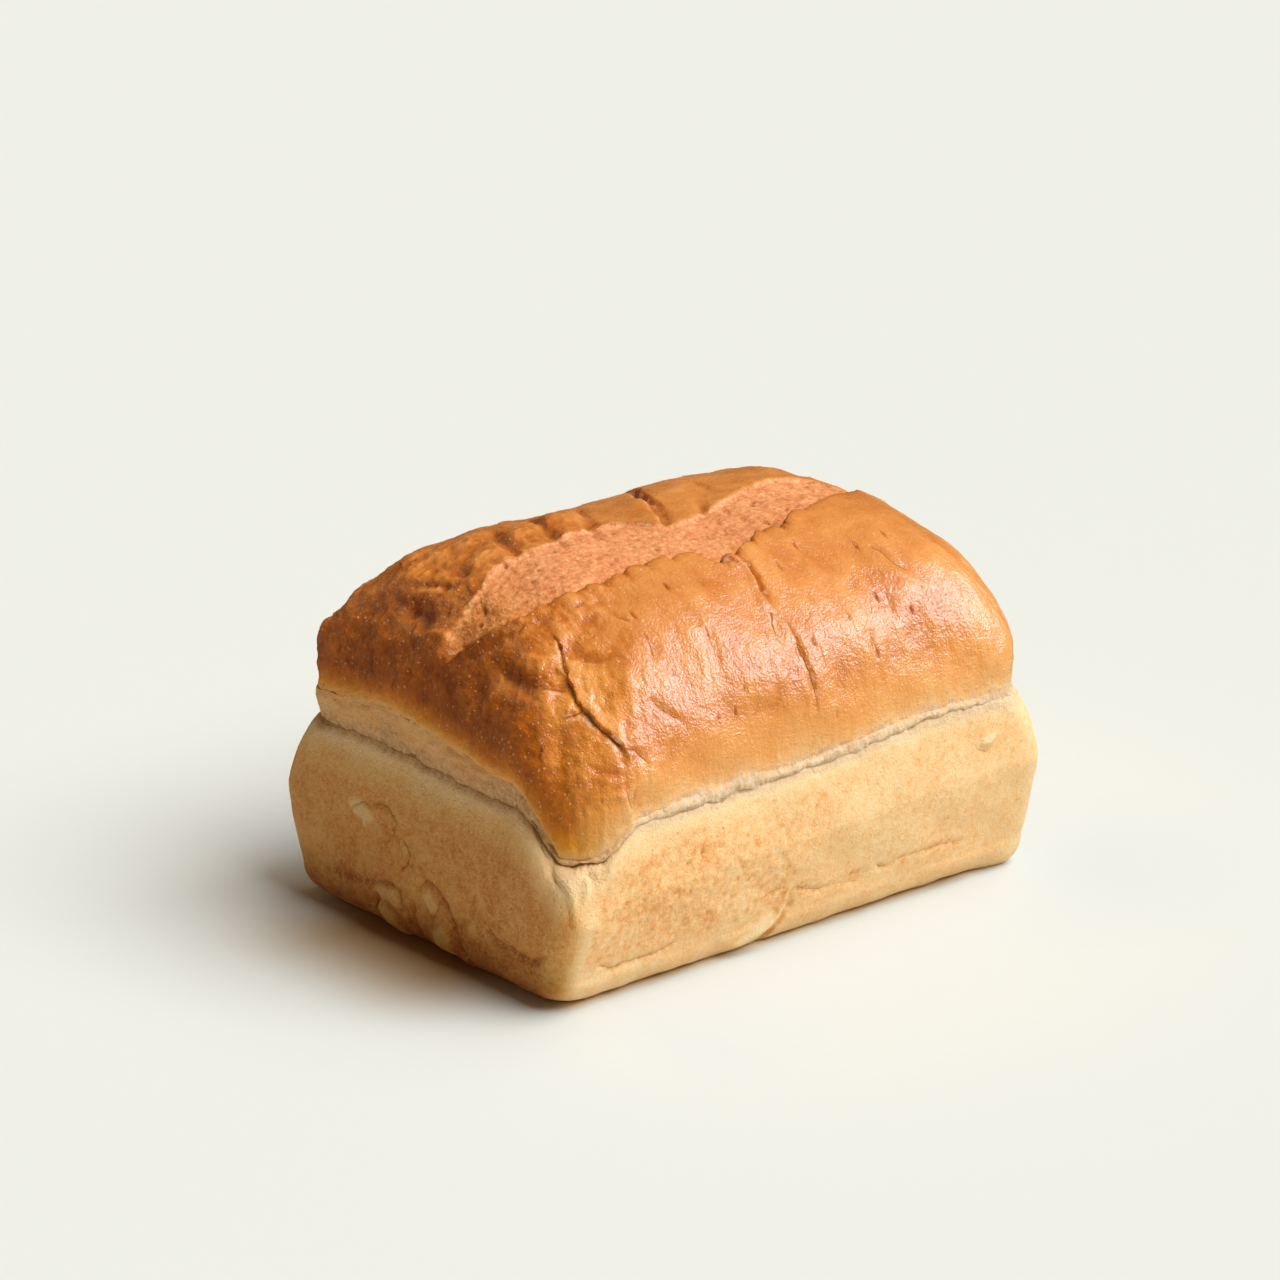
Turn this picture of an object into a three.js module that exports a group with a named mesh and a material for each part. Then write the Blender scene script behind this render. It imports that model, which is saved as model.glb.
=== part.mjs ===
// A tin loaf: one solid of bread, baked in a small straight-sided tin and risen over its rim.
//
// The tin part has nearly flat walls with rounded upright edges, and stands on a flat base.
// Above the rim the crust tore all the way round, which leaves a crack with a pale band of
// stretched crumb over it, and on that the browned dome, whose top was cut lengthwise.
//
// Millimetres, +Z up, +X along the loaf, -Y towards the front.
// The origin is in the middle of the base, on the surface that the loaf stands on.
import * as THREE from "three";

// Overall size
const LENGTH = 150;
const WIDTH = 110;
const CREST = 90; // height of the dome's crest line

// Tin part
const WALL_CORNER_RADIUS = 7; // upright edges, seen from above
const FOOT_HEIGHT = 8; // of the rounding along the bottom edge
const FOOT_INSET = 6.5; // how far it reaches in
const RIGHT_FOOT_INSET = 3; // the same at the right end
const FOOT_LEAN = 0.6; // the angle at which it meets the base
const END_TAPER = 0.3; // how far an end wall comes in from its widest line to the foot
const SIDE_TAPER = 4.5;
const TAPER_POWER = 1.25;
const WIDEST_AT = 0.63; // height of the widest line, as a share of the crack's height
const LEFT_ROLL = 4.4; // how far the walls roll in under the crack
const RIGHT_ROLL = 3.4;
const SIDE_ROLL = 1.6;
const ROLL_POWER = 1.33; // above 1: flatter than a quarter ellipse
const CRACK_DEPTH = 0.9;
const CRACK_GAPE = 0.8;

// Dome
const DOME_CORNER_RADIUS = 15;
const LEFT_SET_IN = 3.4; // from the widest line to the foot of the dome
const RIGHT_SET_IN = 3.6;
const SIDE_SET_IN = 1.9;
const LIP_HEIGHT = 3; // height of the rolled lip along the dome's brown edge
const TOP_FACE_INSET = 13;
const RADIUS_GROWTH = 0.3; // the corners get rounder, the further in
const CREST_FRONT = -5; // the crest is flat between these two lines
const CREST_BACK = 5.4;
const FRONT_POWER = 2.35; // how square the dome's sections are
const BACK_POWER = 2.9;
const LEFT_POWER = 5;
const RIGHT_POWER = 8.5;
const UPRIGHT_RISE = 0.29; // how fast the dome climbs off its corners
const UPRIGHT_BLEND = 0.16;

// Grid of the skin
const COLUMNS_ALONG = 46;
const FOOT_STEPS = 3;
const WALL_STEPS = 6;
const ROLL_STEPS = 4;
const DOME_STEPS = 8;

// Heights of the crack and of the dome's brown edge along each side, as [place, height].
// Front and back run along X, the ends run along Y. Both hang low at the front left corner,
// where the dome slid over the tin's edge and left a tongue of crust.
const CRACK = {
  front: [[-75, 35.5], [-66, 36.6], [-57, 43.4], [-35, 42.9], [5, 44.2], [42, 47.3], [75, 46]],
  back: [[-75, 44], [-40, 46], [0, 44.5], [35, 46.5], [75, 45]],
  left: [[-55, 35.5], [-47, 35.6], [-41, 40.5], [-34, 44.8], [-5, 45.8], [22, 46.8], [55, 44]],
  right: [[-55, 46], [-20, 45], [10, 46.5], [35, 45], [55, 45]],
};
const BROWN_EDGE = {
  front: [[-75, 37], [-66, 38.4], [-57, 45.2], [-35, 47], [-22, 48], [-8, 46.6], [30, 49.4], [75, 49.5]],
  back: [[-75, 52], [-40, 51], [0, 48.5], [35, 51], [75, 50]],
  left: [[-55, 37.2], [-47, 37.6], [-40, 46], [-32, 51.2], [0, 55.2], [15, 57.3], [42, 54], [55, 53]],
  right: [[-55, 49], [-20, 52], [10, 54], [35, 52], [55, 50]],
};

// How far the torn band lies back under the dome's lip. It stands out where it is less than 0.
const BAND_RECESS = {
  front: [[-75, 0.3], [-50, 0]],
  back: [[-75, 0], [-30, 0.5]],
  left: [[-55, 0.4], [-42, 1], [-20, 1.1], [5, 0.4], [20, 0.1], [36, -0.2], [55, -0.3]],
  right: [[-55, 0.35], [55, 0.35]],
};
const CREST_RISE = [[-75, 0], [-50, 0.2], [-20, 0.7], [20, 0], [50, -0.3], [75, -1.3]];

// The long cut in the top: the y of its front and back lips along X.
const CUT_FRONT_LIP = [
  [-70, -0.5], [-64, -10], [-57, -16], [-47, -17.7], [-35, -19.4], [-24, -18.8], [-10, -20.2],
  [-5.5, -24], [4, -22.3], [15, -16.8], [20, -17.6], [27, -13.6], [38, -11.7], [51, -8.4], [63, 0],
];
const CUT_BACK_LIP = [
  [-70, -0.5], [-61, -0.6], [-56, 0.6], [-46, 5.4], [-35, 4.2], [-14, 8], [-6, 5], [-2, -1.2],
  [6, -0.4], [12, 1.6], [30, 7.4], [43, 11.5], [54, 10.6], [63, 0],
];
const CUT_DEPTH_FRONT = 3.2;
const CUT_DEPTH_BACK = 1;
const CUT_EDGE = 1; // half the width of the step down from a lip
const CUT_END_RUN = 6; // the cut shallows out over this length at each end
const CUT_LOWEST = 62; // no part of it lies lower than this
const LIP_SWELL = 0.9; // the front lip stands up like a rounded roll
const LIP_SWELL_REACH = 7;

// Rows of the grid that run along the loaf, as [y on the top face, steps to the next].
// The narrow ones take the steps down from the lips, and bend with them over this run from each tip.
const FRONT_LIP_ROW = -17.8;
const BACK_LIP_ROW = 5;
const ROWS = [
  [-40, 8], [FRONT_LIP_ROW - CUT_EDGE, 1], [FRONT_LIP_ROW + CUT_EDGE, 8],
  [BACK_LIP_ROW - CUT_EDGE, 1], [BACK_LIP_ROW + CUT_EDGE, 13], [40, 0],
];
const ROW_BEND_RUN = 18;

// Cracks, creases and dents of the skin. Each runs through its points, with its depth and half width.
// "swell" raises the crust beside it, on the side that "towards" points at. A negative depth makes a ridge.
const CREASES = [
  // long crack in the front left shoulder, and its branch
  {
    path: [[-53, -22, 84], [-56.6, -31, 77.4], [-59.1, -38, 70.5], [-57.6, -45, 64.8], [-50.3, -52, 56.7]],
    depth: 1.4, half: 2.1, swell: 0.9, towards: [1, 0, 0.3],
  },
  { path: [[-59.1, -41, 68.2], [-63, -38.5, 66.6]], depth: 0.8, half: 1.3, swell: 0.4, towards: [0, 1, 1] },
  // crack in the middle of the front shoulder
  {
    path: [[-4, -24, 88], [0, -32, 84.7], [-2.2, -39.5, 79.5], [-4.2, -44.3, 74.6]],
    depth: 1.4, half: 1.9, swell: 0.6, towards: [-1, 0, 0],
  },
  // folds, dents and hollows of the crust behind the cut
  {
    path: [[18, 38, 83], [15, 30, 87.5], [5, 13.7, 90.4], [-0.8, -0.5, 90.5]],
    depth: 2, half: 2.4, swell: 0.4, towards: [1, 0, 0],
  },
  { path: [[-24.6, 33, 86.9], [-30.4, 17.5, 90.3], [-32.6, 9, 90.5]], depth: 1.1, half: 2.4 },
  { path: [[17, 8, 90.4], [13.4, 1.5, 90.2]], depth: 1.1, half: 2.4 },
  // low bulge behind the cut
  { path: [[-38, 15, 89.5], [-24, 17, 90], [-11, 18, 90]], depth: -1.5, half: 4.5 },
  { path: [[-53.3, 14.8, 86.7], [-52.5, 8.2, 87.1]], depth: 1, half: 2.6 },
  // hollows of the left shoulder
  { path: [[-64.9, 19, 79], [-65.2, 7.2, 78.7]], depth: 1.2, half: 3.2 },
  { path: [[-66.3, -20.2, 74.8], [-65.3, -31.5, 72.4]], depth: 1.6, half: 3.4 },
  { path: [[-70, 1, 69.3], [-71.1, -7.6, 64.6]], depth: 1.1, half: 3 },
  // torn fold under the corner tongue
  { path: [[-72.6, -39, 37.5], [-71.4, -46, 34.6], [-65.8, -54.4, 31.6]], depth: 1.2, half: 1.8 },
  // left end wall: a flour fold, and two tucks at its foot
  { path: [[-75, 24.4, 28.4], [-75, 13, 30.7], [-75, 6, 23], [-74.9, 7, 19]], depth: 0.9, half: 2 },
  { path: [[-74.8, 12, 14], [-74, 10.5, 4], [-69, 9, 0]], depth: 1.3, half: 2.2 },
  { path: [[-74.8, -6, 14], [-74.2, -11, 4], [-69, -12, 0]], depth: 1.2, half: 2.2 },
  { path: [[-74.8, -19, 10.6], [-74.8, -33.5, 13.3], [-74.6, -44, 14]], depth: 0.6, half: 1.8 },
  // front wall: low creases, the tuck in its foot, and a flake
  { path: [[-63, -51.3, 10.4], [-51, -51.1, 10.1], [-44, -51.1, 10.3]], depth: 0.7, half: 1.8 },
  { path: [[-5.2, -51.9, 13], [-5.7, -50.9, 9.5], [-9.4, -49.6, 3.5]], depth: 1.2, half: 1.8 },
  { path: [[-7.6, -52, 12.5], [-10.2, -50.8, 7.6], [-21, -48.7, 2.8]], depth: -0.8, half: 2 },
  { path: [[-6.4, -52.5, 15.1], [7, -51.6, 11.8]], depth: 0.6, half: 1.6 },
  { path: [[20, -51.7, 12.2], [29, -51.7, 12.7], [39, -51.5, 12.1]], depth: 0.8, half: 1.8 },
  { path: [[51, -54.9, 36], [58.5, -54.8, 38]], depth: 0.6, half: 1.6 },
  // right end
  { path: [[75, -22, 31], [75, -6, 27], [74.8, 4, 19]], depth: 0.8, half: 2 },
  { path: [[74.8, 16, 15], [74, 14, 4], [69, 13, 0]], depth: 1.1, half: 2.2 },
  {
    path: [[62, 14, 83.5], [67.5, 17, 76], [70.5, 15, 66]],
    depth: 1.1, half: 1.9, swell: 0.5, towards: [0, -1, 0],
  },
  // back
  { path: [[34, 51.6, 12], [18, 51.6, 11], [4, 51.6, 12.4]], depth: 0.8, half: 1.9 },
  {
    path: [[-22, 39, 83], [-25, 46, 76], [-24, 51, 65]],
    depth: 1.2, half: 1.9, swell: 0.6, towards: [1, 0, 0],
  },
];

// Broad unevenness of the crust: each wave has its length and heading over the plan, and its height.
const WAVES = [
  { length: 61, heading: 0.35, lean: 0.5, height: 0.4 },
  { length: 37, heading: 1.9, lean: 0.8, height: 0.3 },
  { length: 23, heading: -0.7, lean: 1.1, height: 0.22 },
];
const WALL_WAVE_SHARE = 0.45; // the tin kept the walls flatter

const HALF_LENGTH = LENGTH / 2;
const HALF_WIDTH = WIDTH / 2;
const DOME_HALF_WIDTH = HALF_WIDTH - SIDE_SET_IN;

const { clamp, lerp } = THREE.MathUtils;

function smooth(low, high, value) {
  return THREE.MathUtils.smoothstep(value, low, high);
}

// Straight lines through [place, value] points, level outside them.
function through(points, place) {
  const last = points.length - 1;
  if (place <= points[0][0]) return points[0][1];
  if (place >= points[last][0]) return points[last][1];
  const next = points.findIndex((point) => point[0] > place);
  const [x0, v0] = points[next - 1];
  const [x1, v1] = points[next];
  return lerp(v0, v1, (place - x0) / (x1 - x0));
}

// The point of a rounded rectangle that a point (u, v) on the edge of the square
// from -1 to 1 goes to, with the outline's normal there.
function outline(u, v, halfLength, halfWidth, radius) {
  const x = u * halfLength;
  const y = v * halfWidth;
  const centreX = clamp(x, radius - halfLength, halfLength - radius);
  const centreY = clamp(y, radius - halfWidth, halfWidth - radius);
  const away = Math.hypot(x - centreX, y - centreY);
  const normalX = (x - centreX) / away;
  const normalY = (y - centreY) / away;
  return { x: centreX + normalX * radius, y: centreY + normalY * radius, normalX, normalY };
}

// A height given along each of the four sides, blended round the corners.
function around(sides, { x, y, normalX, normalY }) {
  const front = Math.max(-normalY, 0) ** 2;
  const back = Math.max(normalY, 0) ** 2;
  const left = Math.max(-normalX, 0) ** 2;
  const right = Math.max(normalX, 0) ** 2;
  return front * through(sides.front, x) + back * through(sides.back, x)
    + left * through(sides.left, y) + right * through(sides.right, y);
}

// 1 in the middle of a section, falling to 0 at its edge; a higher power is squarer.
function section(share, power) {
  return Math.sqrt(Math.max(1 - Math.min(Math.abs(share), 1) ** power, 0));
}

function domeHalfLength(side) {
  return HALF_LENGTH - (side < 0 ? LEFT_SET_IN : RIGHT_SET_IN);
}

// Height of the dome over a point of the plan, where its edge is at edgeHeight.
function domeHeight(x, y, edgeHeight) {
  const halfLength = domeHalfLength(x);
  const frontShare = Math.min(y - CREST_FRONT, 0) / (DOME_HALF_WIDTH + CREST_FRONT);
  const backShare = Math.max(y - CREST_BACK, 0) / (DOME_HALF_WIDTH - CREST_BACK);
  const across = y < 0 ? section(frontShare, FRONT_POWER) : section(backShare, BACK_POWER);
  const endPower = lerp(LEFT_POWER, RIGHT_POWER, smooth(0, 50, x));
  const vault = across * section(x / halfLength, endPower);
  const overX = Math.abs(x) - (halfLength - DOME_CORNER_RADIUS);
  const overY = Math.abs(y) - (DOME_HALF_WIDTH - DOME_CORNER_RADIUS);
  const outside = Math.hypot(Math.max(overX, 0), Math.max(overY, 0)) + Math.min(Math.max(overX, overY), 0);
  const upright = UPRIGHT_RISE * Math.sqrt(Math.max(DOME_CORNER_RADIUS - outside, 0));
  const blend = clamp(0.5 + (0.5 * (upright - vault)) / UPRIGHT_BLEND, 0, 1);
  const rise = clamp(lerp(upright, vault, blend) - UPRIGHT_BLEND * blend * (1 - blend), 0, 1);
  return lerp(edgeHeight, CREST + through(CREST_RISE, x), rise);
}

// The grid's lines over the square from -1 to 1: evenly spaced columns, and the rows given above.
const columnLines = [];
for (let i = 0; i <= COLUMNS_ALONG; i++) columnLines.push((2 * i) / COLUMNS_ALONG - 1);
const rowLines = [];
const widest = ROWS.at(-1)[0];
ROWS.forEach(([start, steps], k) => {
  for (let i = 0; i < steps; i++) rowLines.push(lerp(start, ROWS[k + 1][0], i / steps) / widest);
});
rowLines.push(1);
const ALONG = columnLines.length - 1;
const ACROSS = rowLines.length - 1;

// The outline of that square, counter-clockwise from its front left corner.
function squareEdge() {
  const front = columnLines.slice(0, -1).map((u) => [u, -1]);
  const right = rowLines.slice(0, -1).map((v) => [1, v]);
  const back = columnLines.slice(1).reverse().map((u) => [u, 1]);
  const left = rowLines.slice(1).reverse().map((v) => [-1, v]);
  return [...front, ...right, ...back, ...left];
}

// Moves a point of the dome's grid in y, so that the rows at the cut run along its lips.
// The four rows lie at rowsAt before they are moved.
const CUT_ROWS = [-CUT_EDGE, CUT_EDGE].flatMap((step) => [FRONT_LIP_ROW + step, BACK_LIP_ROW + step]);
const CUT_ROW_SHARES = CUT_ROWS.sort((a, b) => a - b).map((y) => y / widest);
function followCut(x, y, rowsAt) {
  const start = CUT_FRONT_LIP[0][0];
  const end = CUT_FRONT_LIP.at(-1)[0];
  const hold = smooth(0, ROW_BEND_RUN, x - start) * smooth(0, ROW_BEND_RUN, end - x);
  const front = through(CUT_FRONT_LIP, x);
  const back = through(CUT_BACK_LIP, x);
  const lips = [front - CUT_EDGE, front + CUT_EDGE, back - CUT_EDGE, back + CUT_EDGE];
  const bends = rowsAt.map((row, k) => [row, lerp(row, lips[k], hold)]);
  return through([[-DOME_HALF_WIDTH, -DOME_HALF_WIDTH], ...bends, [DOME_HALF_WIDTH, DOME_HALF_WIDTH]], y);
}

// The levels of one upright column of the skin, from the flat base to the top face's edge.
function column([u, v]) {
  const plan = outline(u, v, HALF_LENGTH, HALF_WIDTH, WALL_CORNER_RADIUS);
  const crackHeight = around(CRACK, plan);
  const brownHeight = around(BROWN_EDGE, plan);
  const recess = around(BAND_RECESS, plan);
  const endFoot = u < 0 ? FOOT_INSET : RIGHT_FOOT_INSET;
  const sideFoot = lerp(FOOT_INSET, RIGHT_FOOT_INSET, smooth(0.75, 1, u));
  const endRoll = u < 0 ? LEFT_ROLL : RIGHT_ROLL;
  const levels = [];
  const put = (endInset, sideInset, radius, height) => {
    const at = outline(u, v, HALF_LENGTH - endInset, HALF_WIDTH - sideInset, radius);
    levels.push([at.x, at.y, height]);
  };
  for (let i = 0; i <= FOOT_STEPS; i++) {
    const angle = lerp(FOOT_LEAN, Math.PI / 2, i / FOOT_STEPS);
    const inset = (1 - Math.sin(angle)) / (1 - Math.sin(FOOT_LEAN));
    const height = FOOT_HEIGHT * (1 - Math.cos(angle) / Math.cos(FOOT_LEAN));
    put(END_TAPER + endFoot * inset, SIDE_TAPER + sideFoot * inset, WALL_CORNER_RADIUS, height);
  }
  const widestHeight = crackHeight * WIDEST_AT;
  for (let i = 1; i <= WALL_STEPS; i++) {
    const up = i / WALL_STEPS;
    const taper = (1 - up) ** TAPER_POWER;
    put(END_TAPER * taper, SIDE_TAPER * taper, WALL_CORNER_RADIUS, lerp(FOOT_HEIGHT, widestHeight, up));
  }
  for (let i = 1; i <= ROLL_STEPS; i++) {
    const angle = ((i / ROLL_STEPS) * Math.PI) / 2;
    const roll = 1 - Math.max(Math.cos(angle), 0) ** ROLL_POWER;
    const radius = lerp(WALL_CORNER_RADIUS, DOME_CORNER_RADIUS, roll);
    const climb = Math.sin(angle) ** ROLL_POWER;
    const height = lerp(widestHeight, crackHeight - CRACK_GAPE / 2, climb);
    put(endRoll * roll, SIDE_ROLL * roll, radius, height);
  }
  const endSetIn = u < 0 ? LEFT_SET_IN : RIGHT_SET_IN;
  put(endRoll + CRACK_DEPTH, SIDE_ROLL + CRACK_DEPTH, DOME_CORNER_RADIUS, crackHeight);
  put(endRoll, SIDE_ROLL, DOME_CORNER_RADIUS, crackHeight + CRACK_GAPE / 2);
  put(endSetIn + recess, SIDE_SET_IN + recess, DOME_CORNER_RADIUS, brownHeight - LIP_HEIGHT / 6);
  put(endSetIn, SIDE_SET_IN, DOME_CORNER_RADIUS, brownHeight + LIP_HEIGHT / 3);
  const domeFoot = brownHeight + LIP_HEIGHT;
  put(endSetIn, SIDE_SET_IN, DOME_CORNER_RADIUS, domeFoot);
  for (let i = 1; i <= DOME_STEPS; i++) {
    const inset = TOP_FACE_INSET * (i / DOME_STEPS) ** 2;
    const radius = DOME_CORNER_RADIUS + RADIUS_GROWTH * inset;
    const halfWidth = DOME_HALF_WIDTH - inset;
    const at = outline(u, v, domeHalfLength(u) - inset, halfWidth, radius);
    const y = followCut(at.x, at.y, CUT_ROW_SHARES.map((share) => share * halfWidth));
    levels.push([at.x, y, domeHeight(at.x, y, domeFoot)]);
  }
  return levels;
}

// The plan of a point inside the top face, blended from the points in line with it on the face's edge.
function topPlan(u, v) {
  const radius = DOME_CORNER_RADIUS + RADIUS_GROWTH * TOP_FACE_INSET;
  const halfWidth = DOME_HALF_WIDTH - TOP_FACE_INSET;
  const edge = (p, q) => {
    const at = outline(p, q, domeHalfLength(p) - TOP_FACE_INSET, halfWidth, radius);
    return new THREE.Vector2(at.x, at.y);
  };
  const along = (u + 1) / 2;
  const across = (v + 1) / 2;
  const corners = edge(-1, -1).lerp(edge(1, -1), along).lerp(edge(-1, 1).lerp(edge(1, 1), along), across);
  return edge(-1, v).lerp(edge(1, v), along).add(edge(u, -1).lerp(edge(u, 1), across)).sub(corners);
}

function topPoint(u, v) {
  const { x, y: plainY } = topPlan(u, v);
  const y = followCut(x, plainY, CUT_ROW_SHARES.map((share) => topPlan(u, share).y));
  const share = Math.max(Math.abs(u), Math.abs(v), 1e-6);
  const plan = outline(u / share, v / share, HALF_LENGTH, HALF_WIDTH, WALL_CORNER_RADIUS);
  return [x, y, domeHeight(x, y, around(BROWN_EDGE, plan) + LIP_HEIGHT)];
}

// The plain skin of the loaf, without its cut and creases, as one closed indexed mesh.
function skin() {
  const columns = squareEdge().map(column);
  const count = columns.length;
  const levels = columns[0].length;
  const positions = columns.flat(2);
  const faces = [];
  const at = (c, level) => (c % count) * levels + level;
  const quad = (a, b, c, d) => faces.push(a, b, c, a, c, d);
  for (let c = 0; c < count; c++) {
    for (let level = 0; level < levels - 1; level++) {
      quad(at(c, level), at(c + 1, level), at(c + 1, level + 1), at(c, level + 1));
    }
  }
  const baseCentre = positions.length / 3;
  positions.push(0, 0, 0);
  for (let c = 0; c < count; c++) faces.push(at(c + 1, 0), at(c, 0), baseCentre);

  // The top face's outermost points are the columns' last ones.
  const topStart = positions.length / 3;
  for (let i = 1; i < ALONG; i++) {
    for (let j = 1; j < ACROSS; j++) positions.push(...topPoint(columnLines[i], rowLines[j]));
  }
  const top = (i, j) => {
    if (j === 0) return at(i, levels - 1);
    if (i === ALONG) return at(ALONG + j, levels - 1);
    if (j === ACROSS) return at(2 * ALONG + ACROSS - i, levels - 1);
    if (i === 0) return at(2 * ALONG + 2 * ACROSS - j, levels - 1);
    return topStart + (i - 1) * (ACROSS - 1) + (j - 1);
  };
  for (let i = 0; i < ALONG; i++) {
    for (let j = 0; j < ACROSS; j++) quad(top(i, j), top(i + 1, j), top(i + 1, j + 1), top(i, j + 1));
  }
  const geometry = new THREE.BufferGeometry();
  geometry.setAttribute("position", new THREE.Float32BufferAttribute(positions, 3));
  geometry.setIndex(faces);
  geometry.computeVertexNormals();
  return geometry;
}

// The cut: deepest under its front lip, with a floor that climbs to the thin back lip.
function cutRelief(point) {
  if (point.z < CUT_LOWEST) return 0;
  const start = CUT_FRONT_LIP[0][0];
  const end = CUT_FRONT_LIP.at(-1)[0];
  const fade = smooth(0, CUT_END_RUN, point.x - start) * smooth(0, CUT_END_RUN, end - point.x);
  const pastFront = point.y - through(CUT_FRONT_LIP, point.x);
  const beforeBack = through(CUT_BACK_LIP, point.x) - point.y;
  const inside = smooth(-CUT_EDGE, CUT_EDGE, pastFront) * smooth(-CUT_EDGE, CUT_EDGE, beforeBack);
  const across = clamp(pastFront / Math.max(pastFront + beforeBack, CUT_EDGE), 0, 1);
  const floor = lerp(CUT_DEPTH_FRONT, CUT_DEPTH_BACK, across);
  const swell = LIP_SWELL * Math.exp(-((pastFront / LIP_SWELL_REACH) ** 2)) * (1 - inside);
  return fade * (swell - inside * floor);
}

// A crack or crease: a groove along its path, with the crust raised on one side of it.
const nearest = new THREE.Vector3();
function creaseRelief(crease, point) {
  let away = Infinity;
  const offset = new THREE.Vector3();
  for (const stretch of crease.stretches) {
    stretch.closestPointToPoint(point, true, nearest);
    const distance = nearest.distanceTo(point);
    if (distance < away) {
      away = distance;
      offset.subVectors(point, nearest);
    }
  }
  const groove = -crease.depth * Math.exp(-((away / crease.half) ** 2));
  if (!crease.swell) return groove;
  const side = offset.dot(crease.side) / crease.half;
  const beside = smooth(0, 1.5, side) * Math.exp(-((away / (3 * crease.half)) ** 2));
  return groove + crease.swell * beside;
}

function prepareCrease(crease) {
  const points = crease.path.map((point) => new THREE.Vector3(...point));
  const stretches = points.slice(1).map((point, i) => new THREE.Line3(points[i], point));
  const side = new THREE.Vector3(...(crease.towards ?? [0, 0, 0])).normalize();
  return { ...crease, stretches, side };
}

// Broad waves, full on the dome and weaker on the walls that the tin held.
function waveRelief(point) {
  const share = lerp(WALL_WAVE_SHARE, 1, smooth(40, 60, point.z));
  let sum = 0;
  for (const { length, heading, lean, height } of WAVES) {
    const run = point.x * Math.cos(heading) + point.y * Math.sin(heading) + point.z * lean;
    sum += height * Math.sin((2 * Math.PI * run) / length);
  }
  return share * sum;
}

// The base and the rounding just above it stay as they are, so that the loaf stands flat.
function makeLoaf() {
  const geometry = skin();
  const position = geometry.getAttribute("position");
  const normal = geometry.getAttribute("normal");
  const creases = CREASES.map(prepareCrease);
  const point = new THREE.Vector3();
  const outward = new THREE.Vector3();
  for (let i = 0; i < position.count; i++) {
    point.fromBufferAttribute(position, i);
    outward.fromBufferAttribute(normal, i);
    let relief = waveRelief(point) * smooth(0, FOOT_HEIGHT * 2, point.z) + cutRelief(point);
    for (const crease of creases) relief += creaseRelief(crease, point);
    if (point.z < 0.01) outward.setZ(0);
    point.addScaledVector(outward, relief);
    position.setXYZ(i, point.x, point.y, Math.max(point.z, 0));
  }
  geometry.computeVertexNormals();
  return geometry;
}

const crust = new THREE.MeshStandardMaterial({ color: 0xd9935a, roughness: 0.5, metalness: 0 });
const loaf = new THREE.Mesh(makeLoaf(), crust);
loaf.name = "loaf";

const group = new THREE.Group();
group.add(loaf);

export default group;
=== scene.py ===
# The looks of the tin loaf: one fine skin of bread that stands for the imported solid, on a pale floor.
# The skin repeats the solid's shape from the same named sizes and adds the crust's fine relief.
# Lengths are millimetres in the frame's axes (+X along the loaf, -Y towards the front, +Z up)
# until the mesh is written in metres.
import math
from itertools import product

import bpy
import numpy as np
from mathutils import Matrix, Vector


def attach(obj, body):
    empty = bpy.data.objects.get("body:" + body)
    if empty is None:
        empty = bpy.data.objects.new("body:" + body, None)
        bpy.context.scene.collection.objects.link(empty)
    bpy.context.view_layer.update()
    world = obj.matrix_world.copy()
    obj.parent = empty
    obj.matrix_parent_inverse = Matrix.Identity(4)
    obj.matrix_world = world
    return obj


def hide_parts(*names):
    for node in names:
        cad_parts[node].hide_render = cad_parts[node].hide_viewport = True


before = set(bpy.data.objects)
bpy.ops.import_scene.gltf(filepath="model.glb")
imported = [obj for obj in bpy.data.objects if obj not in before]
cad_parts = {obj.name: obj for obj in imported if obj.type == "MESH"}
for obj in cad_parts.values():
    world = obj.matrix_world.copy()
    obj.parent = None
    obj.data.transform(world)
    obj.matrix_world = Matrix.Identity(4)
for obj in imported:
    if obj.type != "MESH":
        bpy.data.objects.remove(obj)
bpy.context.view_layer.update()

MM = 0.001

# Overall size
LENGTH = 150
WIDTH = 110
CREST = 90  # height of the dome's crest line

# Tin part
WALL_CORNER_RADIUS = 7
FOOT_HEIGHT = 8  # of the rounding along the bottom edge
FOOT_INSET = 6.5
RIGHT_FOOT_INSET = 3
FOOT_LEAN = 0.6  # the angle at which the rounding meets the base
END_TAPER = 0.3
SIDE_TAPER = 4.5
TAPER_POWER = 1.25
WIDEST_AT = 0.63
LEFT_ROLL = 4.4
RIGHT_ROLL = 3.4
SIDE_ROLL = 1.6
ROLL_POWER = 1.33  # above 1: flatter than a quarter ellipse

# Dome
DOME_CORNER_RADIUS = 15
LEFT_SET_IN = 3.4
RIGHT_SET_IN = 3.6
SIDE_SET_IN = 1.9
LIP_HEIGHT = 3
LIP_ROUND = 2.2
TOP_FACE_INSET = 13
RADIUS_GROWTH = 0.3
CREST_FRONT = -5
CREST_BACK = 5.4
FRONT_POWER = 2.35
BACK_POWER = 2.9
LEFT_POWER = 5
RIGHT_POWER = 8.5
UPRIGHT_RISE = 0.29
UPRIGHT_BLEND = 0.16

SIDES = ("front", "back", "left", "right")
HALF_LENGTH = LENGTH / 2
HALF_WIDTH = WIDTH / 2
DOME_HALF_WIDTH = HALF_WIDTH - SIDE_SET_IN

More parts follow.
